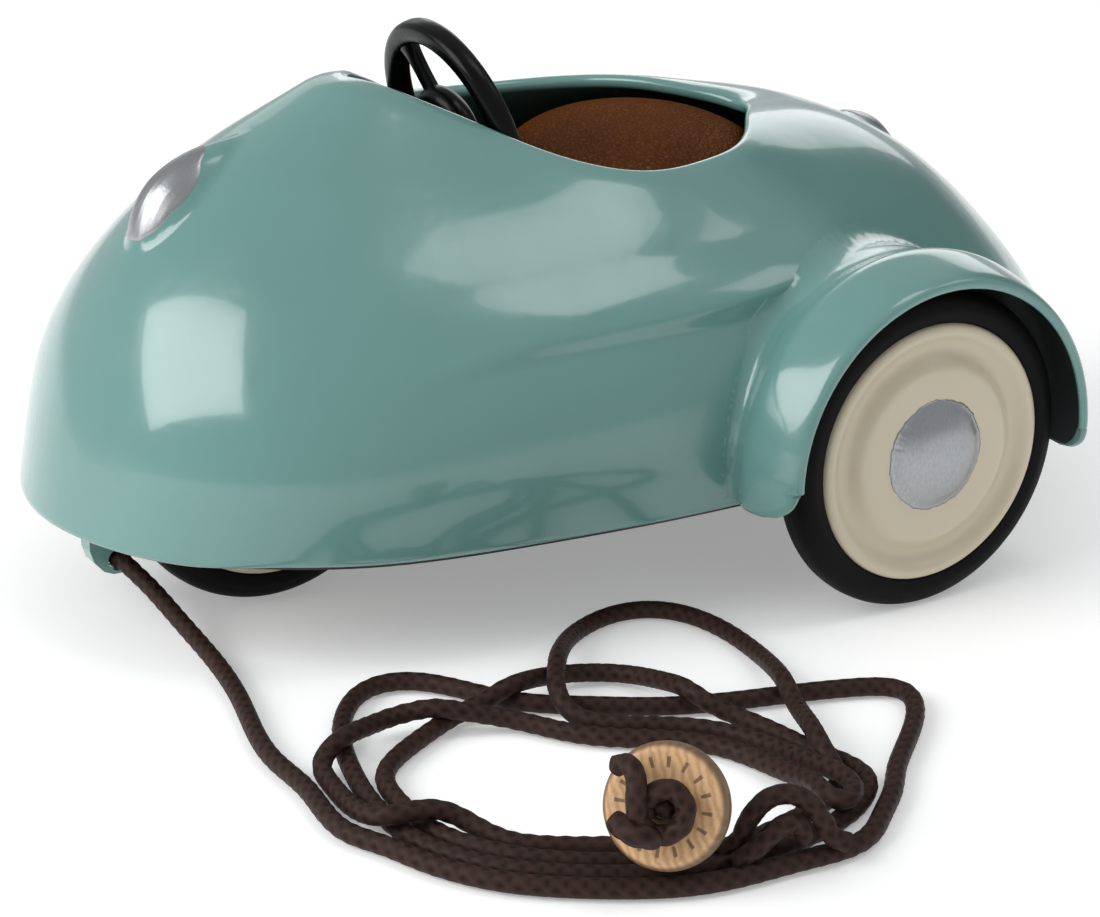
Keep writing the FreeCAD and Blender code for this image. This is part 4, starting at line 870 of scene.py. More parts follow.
def fender_loop(angle, from_end):
    """One closed section: outer face, fillet, inner face and rounded free edge."""
    first = fender_first(from_end)
    meet_index = fender_meets_body(angle)
    meet = FENDER_SECTION[meet_index]
    fillet = 1.8 + 1.3 * max(math.cos(angle), 0.0)
    last = meet_index
    while last > first + 4 and np.linalg.norm(FENDER_SECTION[last] - meet) < fillet:
        last -= 1
    landing = fender_landing(meet, fillet, angle)

    outer = [at_index(FENDER_SECTION, x) for x in np.linspace(first, last, OUTER_POINTS)]
    curve = [(1 - t) ** 2 * outer[-1] + 2 * t * (1 - t) * meet + t ** 2 * landing
             for t in np.linspace(0, 1, FILLET_POINTS + 1)[1:]]
    sunk = landing + np.array([-0.5, 0.15])
    inner_last = min(meet_index + 4, len(FENDER_SECTION) - 1)
    inner = [at_index(FENDER_SECTION, x) - unit(at_index(SECTION_NORMALS, x)) * FENDER_THICK
             for x in np.linspace(first, inner_last, INNER_POINTS)]

    middle = (outer[0] + inner[0]) / 2
    radius = np.linalg.norm(outer[0] - inner[0]) / 2
    through = (outer[0] - inner[0]) / (2 * radius)
    inwards = unit(outer[1] - outer[0])
    outwards = -unit(inwards - through * inwards.dot(through))
    edge = [middle + radius * (math.cos(t) * through + 0.8 * math.sin(t) * outwards)
            for t in np.linspace(0, math.pi, EDGE_POINTS + 2)[1:-1]]
    return outer + curve + [sunk] + inner[::-1] + edge[::-1]


def fender(name, side):
    sweep = FENDER_END - FENDER_START
    mean_radius = 24.0
    points = []
    for i in range(FENDER_STEPS + 1):
        angle = FENDER_START + sweep * (i / FENDER_STEPS)
        from_end = min(i, FENDER_STEPS - i) / FENDER_STEPS * sweep * mean_radius
        for point in fender_loop(angle, from_end):
            x, y, z = fender_place(point, angle)
            points.append((x * side, y, z))
    inner_start = OUTER_POINTS + FILLET_POINTS + 1
    columns = inner_start + INNER_POINTS + EDGE_POINTS
    # the inner face under the fender gets the dark painted shade
    dark = range(inner_start + 2, inner_start + INNER_POINTS - 3)
    face_material = [1 if j in dark else 0 for j in range(columns)] * FENDER_STEPS + [0, 0]
    faces = grid_faces(FENDER_STEPS + 1, columns, False, True)
    for base in (0, FENDER_STEPS * columns):
        faces.append(tuple(base + j for j in range(columns)))
    ob = piece(name + "_fender_skin", points, faces, TEAL, INSIDE_PAINTED_SHADE,
               face_material=face_material)
    face_outwards(ob)
    with edit(ob) as bm:
        ends = [face for face in bm.faces if len(face.verts) > 10]
        bmesh.ops.triangulate(bm, faces=ends)
    register(ob, "chassis", [name + "_fender"])


fender("left", 1)
fender("right", -1)

# ------------------------------------------------------------------ wheels
# face_x is how far the outer face stands from the car's middle; disc, tyre and shaft are radii.
REAR = dict(axle=REAR_AXLE, disc=16.6, tyre=20.5, face_x=53.7, shaft=1.5, body="rear_axle_set")
FRONT = dict(axle=FRONT_AXLE, disc=15.6, tyre=19.27, face_x=8.96, shaft=1.25,
             body="front_axle_set")


def disc_profile(disc, shaft):
    """(outwards from the face, radius); a groove rings the dished face inside the rim."""
    k = disc / REAR["disc"]
    face = smooth_line([
        (-0.02, 6.3), (0.0, 7.2), (0.02, 9.2 * k), (-0.02, 10.6 * k), (-0.20, 11.25 * k),
        (-0.62, 11.85 * k), (-1.15, 12.5 * k), (-1.38, 13.15 * k), (-1.30, 13.85 * k),
        (-0.96, 14.45 * k), (-0.50, 14.95 * k), (-0.24, 15.35 * k), (-0.2, 15.75 * k),
        (-0.3, disc - 0.42), (-0.55, disc - 0.14), (-0.95, disc)], 64)
    back = [(-4.9, disc), (-5.05, disc - 0.3), (-5.1, disc - 1.4), (-4.6, 13.6 * k),
            (-4.6, 12.4 * k), (-5.2, 9.0), (-5.6, 6.0), (-6.2, 4.2), (-6.2, shaft),
            (-1.6, shaft), (-1.5, 0.0), (-0.6, 0.0), (-0.6, 6.2)]
    return np.vstack([face, back])


def tyre_profile(disc, tyre):
    """Flat tread, rounded shoulders and a fine mould line round the tread's middle."""
    return smooth_line([
        (-0.80, disc + 0.02), (-0.62, disc + 0.30), (-0.50, disc + 0.9), (-0.47, disc + 1.5),
        (-0.62, tyre - 1.75), (-0.95, tyre - 1.0), (-1.5, tyre - 0.38), (-2.2, tyre - 0.08),
        (-2.75, tyre), (-3.20, tyre), (-3.32, tyre + 0.05), (-3.44, tyre), (-4.0, tyre),
        (-4.5, tyre - 0.1), (-5.1, tyre - 0.42), (-5.6, tyre - 1.05), (-5.92, tyre - 1.9),
        (-6.0, disc + 1.4), (-5.9, disc + 0.7), (-5.6, disc + 0.02)], 84)


CAP_PROFILE = np.vstack([
    smooth_line([(1.92, 0.0), (1.90, 1.0), (1.80, 2.2), (1.57, 3.5), (1.22, 4.6), (0.78, 5.6),
                 (0.42, 6.25), (0.22, 6.6), (0.10, 6.95), (0.05, 7.12)], 34),
    [(-0.3, 7.0), (-0.45, 6.3), (-0.45, 0.0)]])


def wheel(prefix, side, kind, phase):
    """Disc, tyre and domed cap; phase shifts the waver of the cap's brushed edge."""
    centre = kind["axle"] + np.array([side * kind["face_x"], 0, 0])
    axis = (side, 0, 0)

    def ragged(along, radius, angle):
        if radius > 5.0 and along > -0.2:
            waver = (0.009 * math.sin(7 * angle + phase) + 0.006 * math.sin(19 * angle + 2 * phase)
                     + 0.005 * math.sin(33 * angle + phase * 3) + 0.003 * math.sin(59 * angle))
            return radius * (1 + waver * smoothstep((radius - 5.0) / 2.0))
        return radius

    disc = lathe(prefix + "_wheel_disc", disc_profile(kind["disc"], kind["shaft"]),
                 centre, axis, CREAM, steps=176)
    register(disc, kind["body"], [prefix + "_disc"])
    tyre = lathe(prefix + "_wheel_tyre", tyre_profile(kind["disc"], kind["tyre"]),
                 centre, axis, RUBBER, steps=176)
    register(tyre, kind["body"], [prefix + "_tyre"])
    cap = lathe(prefix + "_wheel_cap", CAP_PROFILE, centre, axis, SILVER, steps=320,
                closed=False, radius_at=ragged)
    register(cap, kind["body"], [prefix + "_cap"])


wheel("rear_left", 1, REAR, phase=0.3)
wheel("rear_right", -1, REAR, phase=1.9)
wheel("front_left", 1, FRONT, phase=2.7)
wheel("front_right", -1, FRONT, phase=4.1)

# ------------------------------------------------------------------ steering wheel
COLUMN_TILT = math.radians(71.7)                       # from upright
STEER_AXIS = np.array([0.0, math.sin(COLUMN_TILT), math.cos(COLUMN_TILT)])   # back and up
STEER_MIDDLE = np.array([0.0, -2.7, 41.4])
STEER_X = np.array([1.0, 0, 0])
STEER_Y = np.cross(STEER_AXIS, STEER_X)
# hub: a domed boss at the back, then a stepped collar down the column (along, radius)
HUB_PROFILE = np.vstack([
    smooth_line([(1.8, 0.0), (1.76, 1.4), (1.58, 2.9), (1.2, 4.2), (0.6, 5.3), (-0.2, 5.95),
                 (-1.0, 6.1), (-1.8, 5.95), (-2.4, 5.45), (-2.75, 4.85), (-2.85, 4.4)], 40),
    smooth_line([(-2.9, 4.3), (-3.6, 4.15), (-4.1, 3.8), (-4.4, 3.2), (-4.6, 2.7),
                 (-5.0, 2.45), (-5.9, 2.4), (-6.3, 2.2), (-6.45, 1.55)], 24),
    [(-1.0, 1.5), (-1.0, 0.0)]])


def steering_ring():
    radius, half_depth, half_width, squareness, sides = 13.35, 1.55, 1.5, 0.72, 20
    profile = []
    for k in range(sides):
        a = 2 * math.pi * k / sides
        profile.append((half_depth * blunt(math.sin(a), squareness),
                        radius + half_width * blunt(math.cos(a), squareness)))
    ob = lathe("steering_ring", profile, STEER_MIDDLE, STEER_AXIS, BLACK, steps=150)
    register(ob, "steering_set", ["steering_wheel"])


def steering_hub():
    ob = lathe("steering_hub", HUB_PROFILE, STEER_MIDDLE, STEER_AXIS, BLACK, steps=90,
               closed=False)
    register(ob, "steering_set")


def steering_spoke(number, angle):
    """A flat bar from hub to ring, waisted in the middle and flared at both ends."""
    inner, outer, stations, sides = 2.4, 12.9, 30, 16
    ca, sa = math.cos(angle), math.sin(angle)
    points = []
    for i in range(stations):
        f = i / (stations - 1)
        r = inner + f * (outer - inner)
        half_width = (1.45 - 0.42 * math.sin(math.pi * min(f * 1.15, 1.0))
                      + 0.75 * smoothstep((f - 0.74) / 0.26)
                      + 0.7 * smoothstep((0.28 - f) / 0.28))
        half_depth = 1.05 - 0.12 * math.sin(math.pi * f) + 0.15 * smoothstep((f - 0.8) / 0.2)
        sink = -0.45 + 0.45 * f
        for j in range(sides):
            b = 2 * math.pi * j / sides
            p, q = half_width * blunt(math.cos(b), 0.8), half_depth * blunt(math.sin(b), 0.8)
            points.append(STEER_MIDDLE + STEER_X * (r * ca - p * sa)
                          + STEER_Y * (r * sa + p * ca) + STEER_AXIS * (sink + q))
    faces = grid_faces(stations, sides, False, True)
    faces += [tuple(range(sides)), tuple(range((stations - 1) * sides, stations * sides))]
    ob = piece("steering_spoke_%d" % number, points, faces, BLACK)
    register(ob, "steering_set")
    face_outwards(ob)


steering_ring()
steering_hub()
for k in range(3):
    steering_spoke(k + 1, math.radians(120 * k))

# ------------------------------------------------------------------ pull cord
# B-spline control points (x, y, z) from the nose eyelet through the coil to the bead.
CORD = np.array([
    (2.7, -52.35, -7.18), (4.44, -51.87, -7.9), (7.28, -51.3, -8.77), (10.31, -50.97, -9.65),
    (13.36, -50.78, -10.44), (16.37, -50.65, -11.12), (19.35, -50.58, -11.66), (22.33, -50.62, -12.07),
    (25.31, -50.79, -12.38), (28.3, -51.12, -12.59), (31.27, -51.59, -12.72), (34.23, -52.21, -12.78),
    (37.15, -52.95, -12.8), (40.01, -53.74, -12.8), (42.84, -54.52, -12.8), (45.7, -55.22, -12.8),
    (48.62, -55.77, -12.8), (51.63, -56.05, -12.8), (54.62, -56.02, -12.8), (57.5, -55.95, -12.8),
    (60.39, -56.19, -12.8), (63.32, -56.68, -12.8), (66.45, -57.15, -12.8), (69.99, -57.19, -12.8),
    (72.98, -55.86, -12.8), (75.5, -54.63, -12.8), (78.33, -53.8, -12.8), (81.14, -52.71, -12.8),
    (83.81, -51.32, -12.8), (86.35, -49.68, -12.8), (88.67, -47.73, -12.8), (90.7, -45.5, -12.8),
    (92.57, -43.13, -12.8), (94.31, -40.66, -12.8), (95.93, -38.11, -12.8), (97.39, -35.49, -12.8),
    (98.56, -32.75, -12.8), (99.35, -29.88, -12.8), (99.77, -26.92, -12.8), (99.97, -23.93, -12.8),
    (100.13, -20.92, -12.8), (100.4, -17.93, -12.8), (100.66, -14.96, -12.8), (100.32, -12.09, -12.8),
    (99.02, -9.51, -12.8), (97.12, -7.26, -12.8), (95.22, -5, -12.8), (93.27, -2.59, -12.8),
    (90.98, -0.48, -12.8), (88.75, 1.45, -12.8), (86.75, 3.62, -12.8), (84.79, 5.89, -12.8),
    (82.8, 8.15, -12.8), (80.75, 10.34, -12.8), (78.56, 12.37, -12.8), (76.15, 14.06, -12.8),
    (73.6, 14.8, -12.8), (71.51, 13.65, -12.8), (70.16, 11.16, -12.8), (69.08, 8.37, -12.8),
    (68.11, 5.53, -12.8), (67.23, 2.65, -12.8), (66.42, -0.25, -12.8), (65.59, -3.14, -12.8),
    (64.65, -5.99, -12.8), (63.6, -8.79, -12.8), (62.38, -11.51, -12.8), (60.86, -14.08, -12.8),
    (59.15, -16.56, -12.8), (57.42, -19.02, -12.8), (55.72, -21.5, -12.8), (53.88, -23.85, -12.8),
    (51.69, -25.86, -12.8), (49.19, -27.49, -12.8), (46.56, -28.93, -12.8), (43.95, -30.4, -12.8),
    (41.61, -32.19, -12.8), (40.04, -34.54, -12.8), (39.75, -37.29, -12.8), (40.8, -39.94, -12.8),
    (42.68, -42.2, -12.8), (44.98, -44.11, -12.8), (47.48, -45.75, -12.8), (50.14, -47.13, -12.8),
    (52.91, -48.29, -12.8), (55.74, -49.25, -12.8), (58.6, -50.07, -12.8), (61.44, -50.83, -12.8),
    (64.4, -51.44, -12.8), (67.54, -51.84, -12.8), (70.73, -52.06, -12.8), (73.9, -51.95, -12.8),
    (77.02, -51.41, -12.8), (79.89, -50.34, -12.8), (82.6, -48.92, -12.8), (85.17, -47.24, -12.8),
    (87.41, -45.18, -12.8), (89.37, -42.88, -12.8), (91.22, -40.47, -12.8), (92.86, -37.92, -12.8),
    (94.23, -35.22, -12.8), (95.31, -32.4, -12.8), (96.1, -29.5, -12.8), (96.63, -26.55, -12.8),
    (96.89, -23.57, -12.8), (96.87, -20.58, -12.8), (96.59, -17.59, -12.8), (96.08, -14.63, -12.8),
    (95.36, -11.73, -12.8), (94.36, -8.97, -12.8), (92.94, -6.51, -12.8), (91.19, -4.31, -12.8),
    (89.14, -2.69, -12.8), (86.55, -2.26, -12.8), (83.67, -2.81, -12.8), (80.8, -3.63, -12.8),
    (77.86, -4.12, -12.8), (74.92, -4.54, -12.8), (72.12, -5.13, -12.77), (69.68, -6.07, -12.59),
    (67.73, -7.38, -12.06), (65.95, -8.79, -11.16), (63.1, -9.46, -10.37), (59.01, -9.36, -11.46),
    (55.26, -9.81, -12.21), (52.37, -11.19, -12.64), (50.49, -13.45, -12.71), (49.67, -16.37, -12.45),
    (49.98, -19.8, -11.81), (51.28, -23.54, -10.91), (52.37, -26.9, -10.56), (52.14, -29.24, -11.65),
    (51.82, -31.41, -12.35), (52.09, -33.79, -12.7), (53.15, -36.32, -12.79), (54.5, -38.92, -12.8),
    (55.93, -41.54, -12.8), (57.5, -44.09, -12.8), (59.36, -46.39, -12.8), (61.71, -47.99, -12.79),
    (64.42, -48.76, -12.76), (67.26, -49.15, -12.73), (70.18, -49.38, -12.68), (73.04, -49.32, -12.76),
    (75.97, -48.94, -12.71), (78.62, -47.97, -12.72), (81.18, -46.64, -12.76), (83.67, -45.03, -12.69),
    (85.78, -43.03, -12.77), (87.65, -40.81, -12.79), (89.39, -38.45, -12.8), (90.91, -35.91, -12.8),
    (92.16, -33.22, -12.8), (93.13, -30.42, -12.8), (93.75, -27.52, -12.8), (93.97, -24.55, -12.8),
    (93.84, -21.56, -12.8), (93.42, -18.59, -12.8), (92.77, -15.66, -12.8), (91.93, -12.78, -12.8),
    (90.94, -10, -12.8), (89.69, -7.54, -12.79), (88.09, -5.77, -12.68), (86.43, -5.05, -12.28),
    (84.68, -4.95, -11.48), (82.19, -4.43, -10.43), (78.6, -2.92, -10.48), (74.95, -1.08, -11.48),
    (72.15, 0.2, -11.87), (70.15, 0.84, -11.56), (68.18, 1.35, -10.57), (64.75, 2.79, -10.96),
    (60.67, 4.51, -11.86), (56.95, 5.73, -12.48), (53.65, 6.43, -12.74), (50.58, 6.72, -12.79),
    (47.57, 6.7, -12.8), (44.61, 6.34, -12.8), (41.78, 5.49, -12.8), (39.33, 3.93, -12.8),
    (37.66, 1.61, -12.8), (37.02, -1.19, -12.8), (37.32, -4.12, -12.79), (38.38, -6.99, -12.71),
    (40.23, -9.84, -12.36), (43, -12.78, -11.6), (46.55, -15.78, -10.64), (50.23, -18.55, -9.58),
    (52.74, -20.36, -10.05), (54.97, -21.76, -10.23), (56.97, -22.63, -10.77), (58.49, -22.61, -11.82),
    (60.28, -21.94, -12.47), (62.28, -20.47, -12.74), (64.07, -18.25, -12.79), (65.67, -15.73, -12.8),
    (67.36, -13.26, -12.8), (69.36, -11.05, -12.8), (71.76, -9.25, -12.79), (74.59, -7.96, -12.73),
    (77.93, -7.3, -12.45), (81.78, -7.35, -11.83), (85.87, -7.66, -11.02), (89.57, -7.67, -10.26),
    (92.49, -7.78, -10.29), (94.85, -8.93, -10.18), (96.03, -10.86, -10.23), (95.1, -12.04, -10.21),
    (92.75, -11.71, -10.31), (89.99, -10.87, -10.57), (86.61, -10.37, -11.64), (82.84, -10.23, -12.36),
    (79.16, -10.47, -12.7), (75.82, -11.31, -12.79), (73.04, -12.75, -12.8), (70.79, -14.74, -12.8),
    (68.92, -17.08, -12.8), (67.2, -19.54, -12.8), (65.38, -21.9, -12.8), (63.22, -23.92, -12.8),
    (60.76, -25.54, -12.8), (58.29, -27, -12.75), (56.24, -28.74, -12.53), (55.01, -31.11, -11.94),
    (54.35, -34.03, -10.99), (53.02, -36.73, -10.31), (51.02, -38.9, -11.24), (50.5, -41.49, -11.59),
    (51.82, -44.63, -11.27), (53.87, -47.95, -10.34), (54.81, -50.48, -10.65), (55.18, -52.04, -11.74),
    (56.41, -52.96, -12.42), (58.64, -53.29, -12.71), (61.64, -53.67, -12.69), (65.03, -54.25, -12.41),
    (68.68, -54.59, -11.77), (72.03, -54.55, -10.79), (73.34, -53.11, -10.41), (73.79, -50.72, -10.25),
    (74.73, -48.36, -10.31), (75.97, -46.42, -11.36), (77.92, -45.31, -12.2), (80.26, -44.11, -12.65),
    (82.58, -42.46, -12.78), (85.97, -37.33, -12.85), (88.29, -33.22, -12.85), (90.34, -30.04, -11.22),
    (91.67, -29.46, -8.47), (93.07, -30.85, -6.38), (94.48, -32.57, -5.48), (95.89, -34.29, -4.58),
    (96.9, -35.13, -4.04), (98.19, -35.52, -3.34),
])
CORD_START = CORD[0]
# the run behind the eyelet: x, then y and z from the cord's start
CORD_STUB = np.array([(-4.6, -0.5, 0.35), (-3.4, -0.45, 0.3), (-2.0, -0.4, 0.22),
                      (-0.6, -0.3, 0.16), (0.9, -0.15, 0.08)]) + CORD_START * (0, 1, 1)


def braid(name, path, radius):
    """A round braid: two crossing families of strands, over one and under one."""
    lay, strands, relief, sides = 1.9, 4, 0.085, 20
    weave_painted_light = []

    def section(angles, along):
        turn = 2 * math.pi * along / lay
        over = np.sin(strands * angles) * math.sin(turn) > 0
        right, left = np.cos(strands * angles + turn), np.cos(strands * angles - turn)
        height = np.where(over, np.maximum(right, left * 0.55), np.maximum(right * 0.55, left))
        weave_painted_light.append(np.clip(0.5 + 0.5 * height, 0, 1))
        return 1.0 + relief * (height - 0.35) / radius

    ob = tube(name, path, radius, CORD_WAX, sides, section)
    # the crown height feeds the cord's painted shade and painted highlight
    point_attribute(ob, "weave_painted_light", np.concatenate(weave_painted_light + [[0.3, 0.3]]))
    return ob


def pull_cord():
    path = bspline_path(np.vstack([CORD_STUB, CORD]), step=0.27)
    ob = braid("pull_cord_braid", path, radius=1.1)
    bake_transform(ob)
    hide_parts("pull_cord", "cord_anchor_knot")


def stopper_knot():
    """An overhand knot drawn tight behind the eyelet."""
    count, sides, size, depth = 260, 18, 0.52, 0.72
    strands, twist = 4, 3.3
    path = []
    for k in range(count):
        a = 2 * math.pi * k / count
        path.append(CORD_START + np.array([
            -7.2 - math.sin(3 * a) * depth * 0.9,
            -0.5 + (math.sin(a) + 2 * math.sin(2 * a)) * size,
            0.35 + (math.cos(a) - 2 * math.cos(2 * a)) * size]))
    ob = tube("cord_stopper_knot", path, 0.92, CORD_WAX, sides, closed=True,
              section=lambda angles, along:
              1.0 + 0.05 * (np.cos(strands * angles + along * twist) - 0.3))
    along = np.array([item.value for item in ob.data.attributes["along"].data])
    angles = np.tile(np.arange(sides), count) * 2 * math.pi / sides
    # the crown height feeds the cord's painted shade and painted highlight
    point_attribute(ob, "weave_painted_light", 0.5 + 0.5 * np.cos(angles * strands + along * twist))
    register(ob, "chassis")


def strand(name, base, stations, radius=1.08, count=150):
    """A length of braid through (right, up, towards the viewer) offsets from a base point."""
    towards = unit(np.array(VIEW_BACK))
    right = unit(np.cross([0, 0, 1.0], towards))
    axes = np.array([right, np.cross(towards, right), towards])
    path = smooth_line(np.array(base) + np.array(stations) @ axes, count)
    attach(braid(name, path, radius), "cord")


pull_cord()
stopper_knot()

# the cord's tail tied in front of the bead: a loop to the right, drawn down over the end
BEAD_KNOT = (96.6, -35.0, -4.6)
strand("cord_bead_knot", BEAD_KNOT, [
    (-4.6, 4.6, 0.2), (-3.4, 4.9, 1.4), (-2.7, 3.6, 2.4), (-2.7, 1.4, 2.7), (-2.4, -0.6, 2.3),
    (-1.2, -1.9, 1.6), (0.6, -2.1, 1.7), (2.0, -0.9, 2.0), (2.2, 1.0, 2.2), (1.0, 2.4, 2.2),
    (-0.7, 2.2, 2.0), (-1.7, 0.9, 1.3), (-1.5, -0.4, 0.9)])
strand("cord_bead_knot_end", BEAD_KNOT, [
    (-4.5, -1.0, 0.8), (-3.7, -1.5, 2.4), (-2.6, -2.0, 3.0), (-1.6, -2.2, 2.6),
    (-1.0, -2.4, 1.8)], radius=1.25, count=60)
# a bight thrown over the coil beside it
BIGHT = (99.0, -21.3, -9.3)
strand("cord_bight", BIGHT, [
    (-6.6, -2.6, -1.0), (-4.7, -1.2, -0.4), (-3.6, 1.2, 0.2), (-1.8, 3.1, 0.3), (0.4, 3.6, 0.2),
    (2.5, 2.7, 0.0), (3.8, 1.0, -0.4), (4.9, -0.8, -0.8), (6.6, -1.6, -1.4)])
strand("cord_bight_tuck", BIGHT, [
    (-5.2, -3.4, 1.2), (-3.2, -1.9, 1.6), (-1.5, -0.3, 1.5), (0.2, 0.7, 0.9), (1.7, 0.2, 0.0),
    (2.2, -1.2, -0.8)], count=80)

# ------------------------------------------------------------------ wooden bead
BEAD_MIDDLE = np.array([95.185, -33.434, -5.030])
BEAD_AXIS = unit(np.array([0.5879, -0.7168, 0.3749]))
BEAD_PROFILE = smooth_line([      # a thick washer: (along the axis, radius)
    (-1.15, 1.52), (-1.45, 1.9), (-1.5, 2.6), (-1.5, 5.4), (-1.42, 5.95), (-1.2, 6.32),
    (-0.8, 6.55), (0.0, 6.62), (0.8, 6.55), (1.2, 6.32), (1.42, 5.95), (1.5, 5.4),
    (1.46, 4.2), (1.40, 3.4), (1.44, 2.6), (1.4, 1.9), (1.15, 1.52)], 90)


def wooden_bead():
    """Darker round its rim and round its hole, with sixteen burnt ticks on one face."""
    ob = lathe("wooden_bead_turned", BEAD_PROFILE, BEAD_MIDDLE, BEAD_AXIS, WOOD, steps=384)
    register(ob, "bead", ["wooden_bead"])
    offset = np.array([vertex.co for vertex in ob.data.vertices]) / MM - BEAD_MIDDLE
    first, second = across_axis(BEAD_AXIS)
    along, u, v = offset @ BEAD_AXIS, offset @ first, offset @ second
    radius, angle = np.hypot(u, v), np.arctan2(v, u)
    rim = 0.75 * smoothstep((radius - 5.9) / 0.5) * (np.abs(along) < 1.45)
    hole = 0.85 * smoothstep((2.3 - radius) / 0.6)
    tick = (np.cos(angle * 16) > 0.86) & (radius > 4.0) & (radius < 5.1) & (along > 1.2)
    point_attribute(ob, "darkening", np.clip(rim + hole + 0.7 * tick, 0, 1))


wooden_bead()

# ------------------------------------------------------------------ seat cushion
CUSHION_PLACE = np.array([0.0, 26.0, 28.5])
CUSHION_Y = -1.2           # middle of the cushion from its place
CLOTH_SCALE = 10.0         # cloth behaves better on a piece ten times the size
CLOTH_FRAMES = 20
CLOTH = dict(quality=6, mass=0.35, tension_stiffness=25, compression_stiffness=25,
             shear_stiffness=12, bending_stiffness=0.8, use_pressure=True,
             uniform_pressure_force=4.0, shrink_min=-0.02, vertex_group_mass="pin")
VOXEL = 0.0075             # metres at cloth scale
PIN_BELOW = 0.006          # the foot below this height is held
MOST_SWELL = 0.014         # the furthest a point may move


def cushion_shell():
    """A closed dome on an oval foot, built at cloth scale."""
    n, dome_rings, foot_rings = 96, 40, 8
    turns = [(math.cos(2 * math.pi * i / n), math.sin(2 * math.pi * i / n)) for i in range(n)]
    points = []
    for j in range(dome_rings + 1):
        rise = math.pi / 2 * j / dome_rings
        radius_x, radius_y = 21.2 * math.cos(rise), 17.6 * math.cos(rise)
        height = 1.2 + 9.9 * math.sin(rise) ** 0.96
        points += [(radius_x * c, radius_y * s + CUSHION_Y, height) for c, s in turns]
    faces = []
    for j in range(dome_rings):
        low, high = j * n, (j + 1) * n
        faces += [(low + i, low + (i + 1) % n, high + (i + 1) % n, high + i) for i in range(n)]
    starts = [0]
    for j in range(1, foot_rings + 1):
        f = 1 - j / 9.0
        starts.append(len(points))
        points += [(20.6 * f * c, 17.0 * f * s + CUSHION_Y, 0.35) for c, s in turns]
    for a, b in zip(starts, starts[1:]):
        faces += [(a + i, b + i, b + (i + 1) % n, a + (i + 1) % n) for i in range(n)]
    points.append((0, CUSHION_Y, 0.35))
    middle = len(points) - 1
    faces += [(starts[-1] + i, middle, starts[-1] + (i + 1) % n) for i in range(n)]
    ob = mesh_object("seat_cushion_leather",
                     [tuple(c * MM * CLOTH_SCALE for c in point) for point in points],
                     faces, [LEATHER])
    with edit(ob) as bm:
        bmesh.ops.remove_doubles(bm, verts=bm.verts, dist=1e-5)
        bmesh.ops.recalc_face_normals(bm, faces=bm.faces)
    return ob


def positions(mesh):
    return np.array([vertex.co for vertex in mesh.vertices])


def inflate(ob):
    """Remeshes the shell evenly, blows it up as cloth and returns the swollen points."""
    scene = bpy.context.scene
    bpy.context.view_layer.objects.active = ob
    for other in bpy.context.selected_objects:
        other.select_set(False)
    ob.select_set(True)
    ob.data.remesh_voxel_size = VOXEL
    bpy.ops.object.voxel_remesh()
    rest = positions(ob.data)
    group = ob.vertex_groups.new(name="pin")
    group.add([i for i, p in enumerate(rest) if p[2] < PIN_BELOW], 1.0, "REPLACE")
    cloth = ob.modifiers.new("cloth", "CLOTH")
    for key, value in CLOTH.items():
        setattr(cloth.settings, key, value)
    cloth.settings.effector_weights.gravity = 0.0
    cloth.collision_settings.use_collision = False
    scene.frame_start, scene.frame_end = 1, CLOTH_FRAMES
    cloth.point_cache.frame_start, cloth.point_cache.frame_end = 1, CLOTH_FRAMES
    for frame in range(1, CLOTH_FRAMES + 1):
        scene.frame_set(frame)
    swollen = positions(ob.evaluated_get(bpy.context.evaluated_depsgraph_get()).data)
    move = swollen - rest
    length = np.linalg.norm(move, axis=1, keepdims=True)
    move = move * np.minimum(1.0, MOST_SWELL / np.maximum(length, 1e-9))
    ob.modifiers.remove(cloth)
    ob.vertex_groups.clear()
    scene.frame_set(1)
    return rest + move


def settle(points):
    """Pleats running in from the foot, a slight hollow on top, and limits on height."""
    x, y = points[:, 0] / 22.2, (points[:, 1] - CUSHION_Y) / 19.0
    reach, angle = np.sqrt(x ** 2 + y ** 2), np.arctan2(y, x)
    gather = smoothstep((reach - 0.72) / 0.28) * (points[:, 2] > 0.5)
    pleat = (0.16 * np.sin(23 * angle + 0.6 * np.sin(5 * angle))
             + 0.10 * np.sin(41 * angle + 1.1))
    outward = np.stack([np.cos(angle), np.sin(angle), 0.35 * np.ones_like(angle)], 1)
    points = points + outward * (gather * pleat)[:, None]
    hollow = np.exp(-(points[:, 0] ** 2 + (points[:, 1] + 3) ** 2) / 60.0)
    points[:, 2] -= 0.35 * hollow * (points[:, 2] > 5)
    points[:, 2] = np.minimum(points[:, 2], 12.6)
    points = points + CUSHION_PLACE
    points[:, 2] = np.maximum(points[:, 2], 28.42)
    return points


def seat_cushion():
    ob = cushion_shell()
    points = inflate(ob)
    points = settle(points / (MM * CLOTH_SCALE))
    ob.data.vertices.foreach_set("co", (points * MM).astype(np.float32).ravel())
    ob.data.update()
    shade_smooth(ob)
    subdivision = ob.modifiers.new("sub", "SUBSURF")
    subdivision.levels = 1
    subdivision.render_levels = 1
    register(ob, "chassis", ["seat_cushion"])


def cushion_welt():
    """The welt sewn round the cushion's foot."""
    path = [(21.8 * math.cos(a), 24.8 + 18.6 * math.sin(a), 29.15 + 0.08 * math.sin(9 * a))
            for a in np.linspace(0, 2 * math.pi, 220, endpoint=False)]
    ob = tube("seat_cushion_welt", path, 0.62, LEATHER, sides=14, closed=True,
              section=lambda angles, along: 1.0 + 0.03 * math.sin(along * 2.1))
    register(ob, "chassis")


seat_cushion()
cushion_welt()

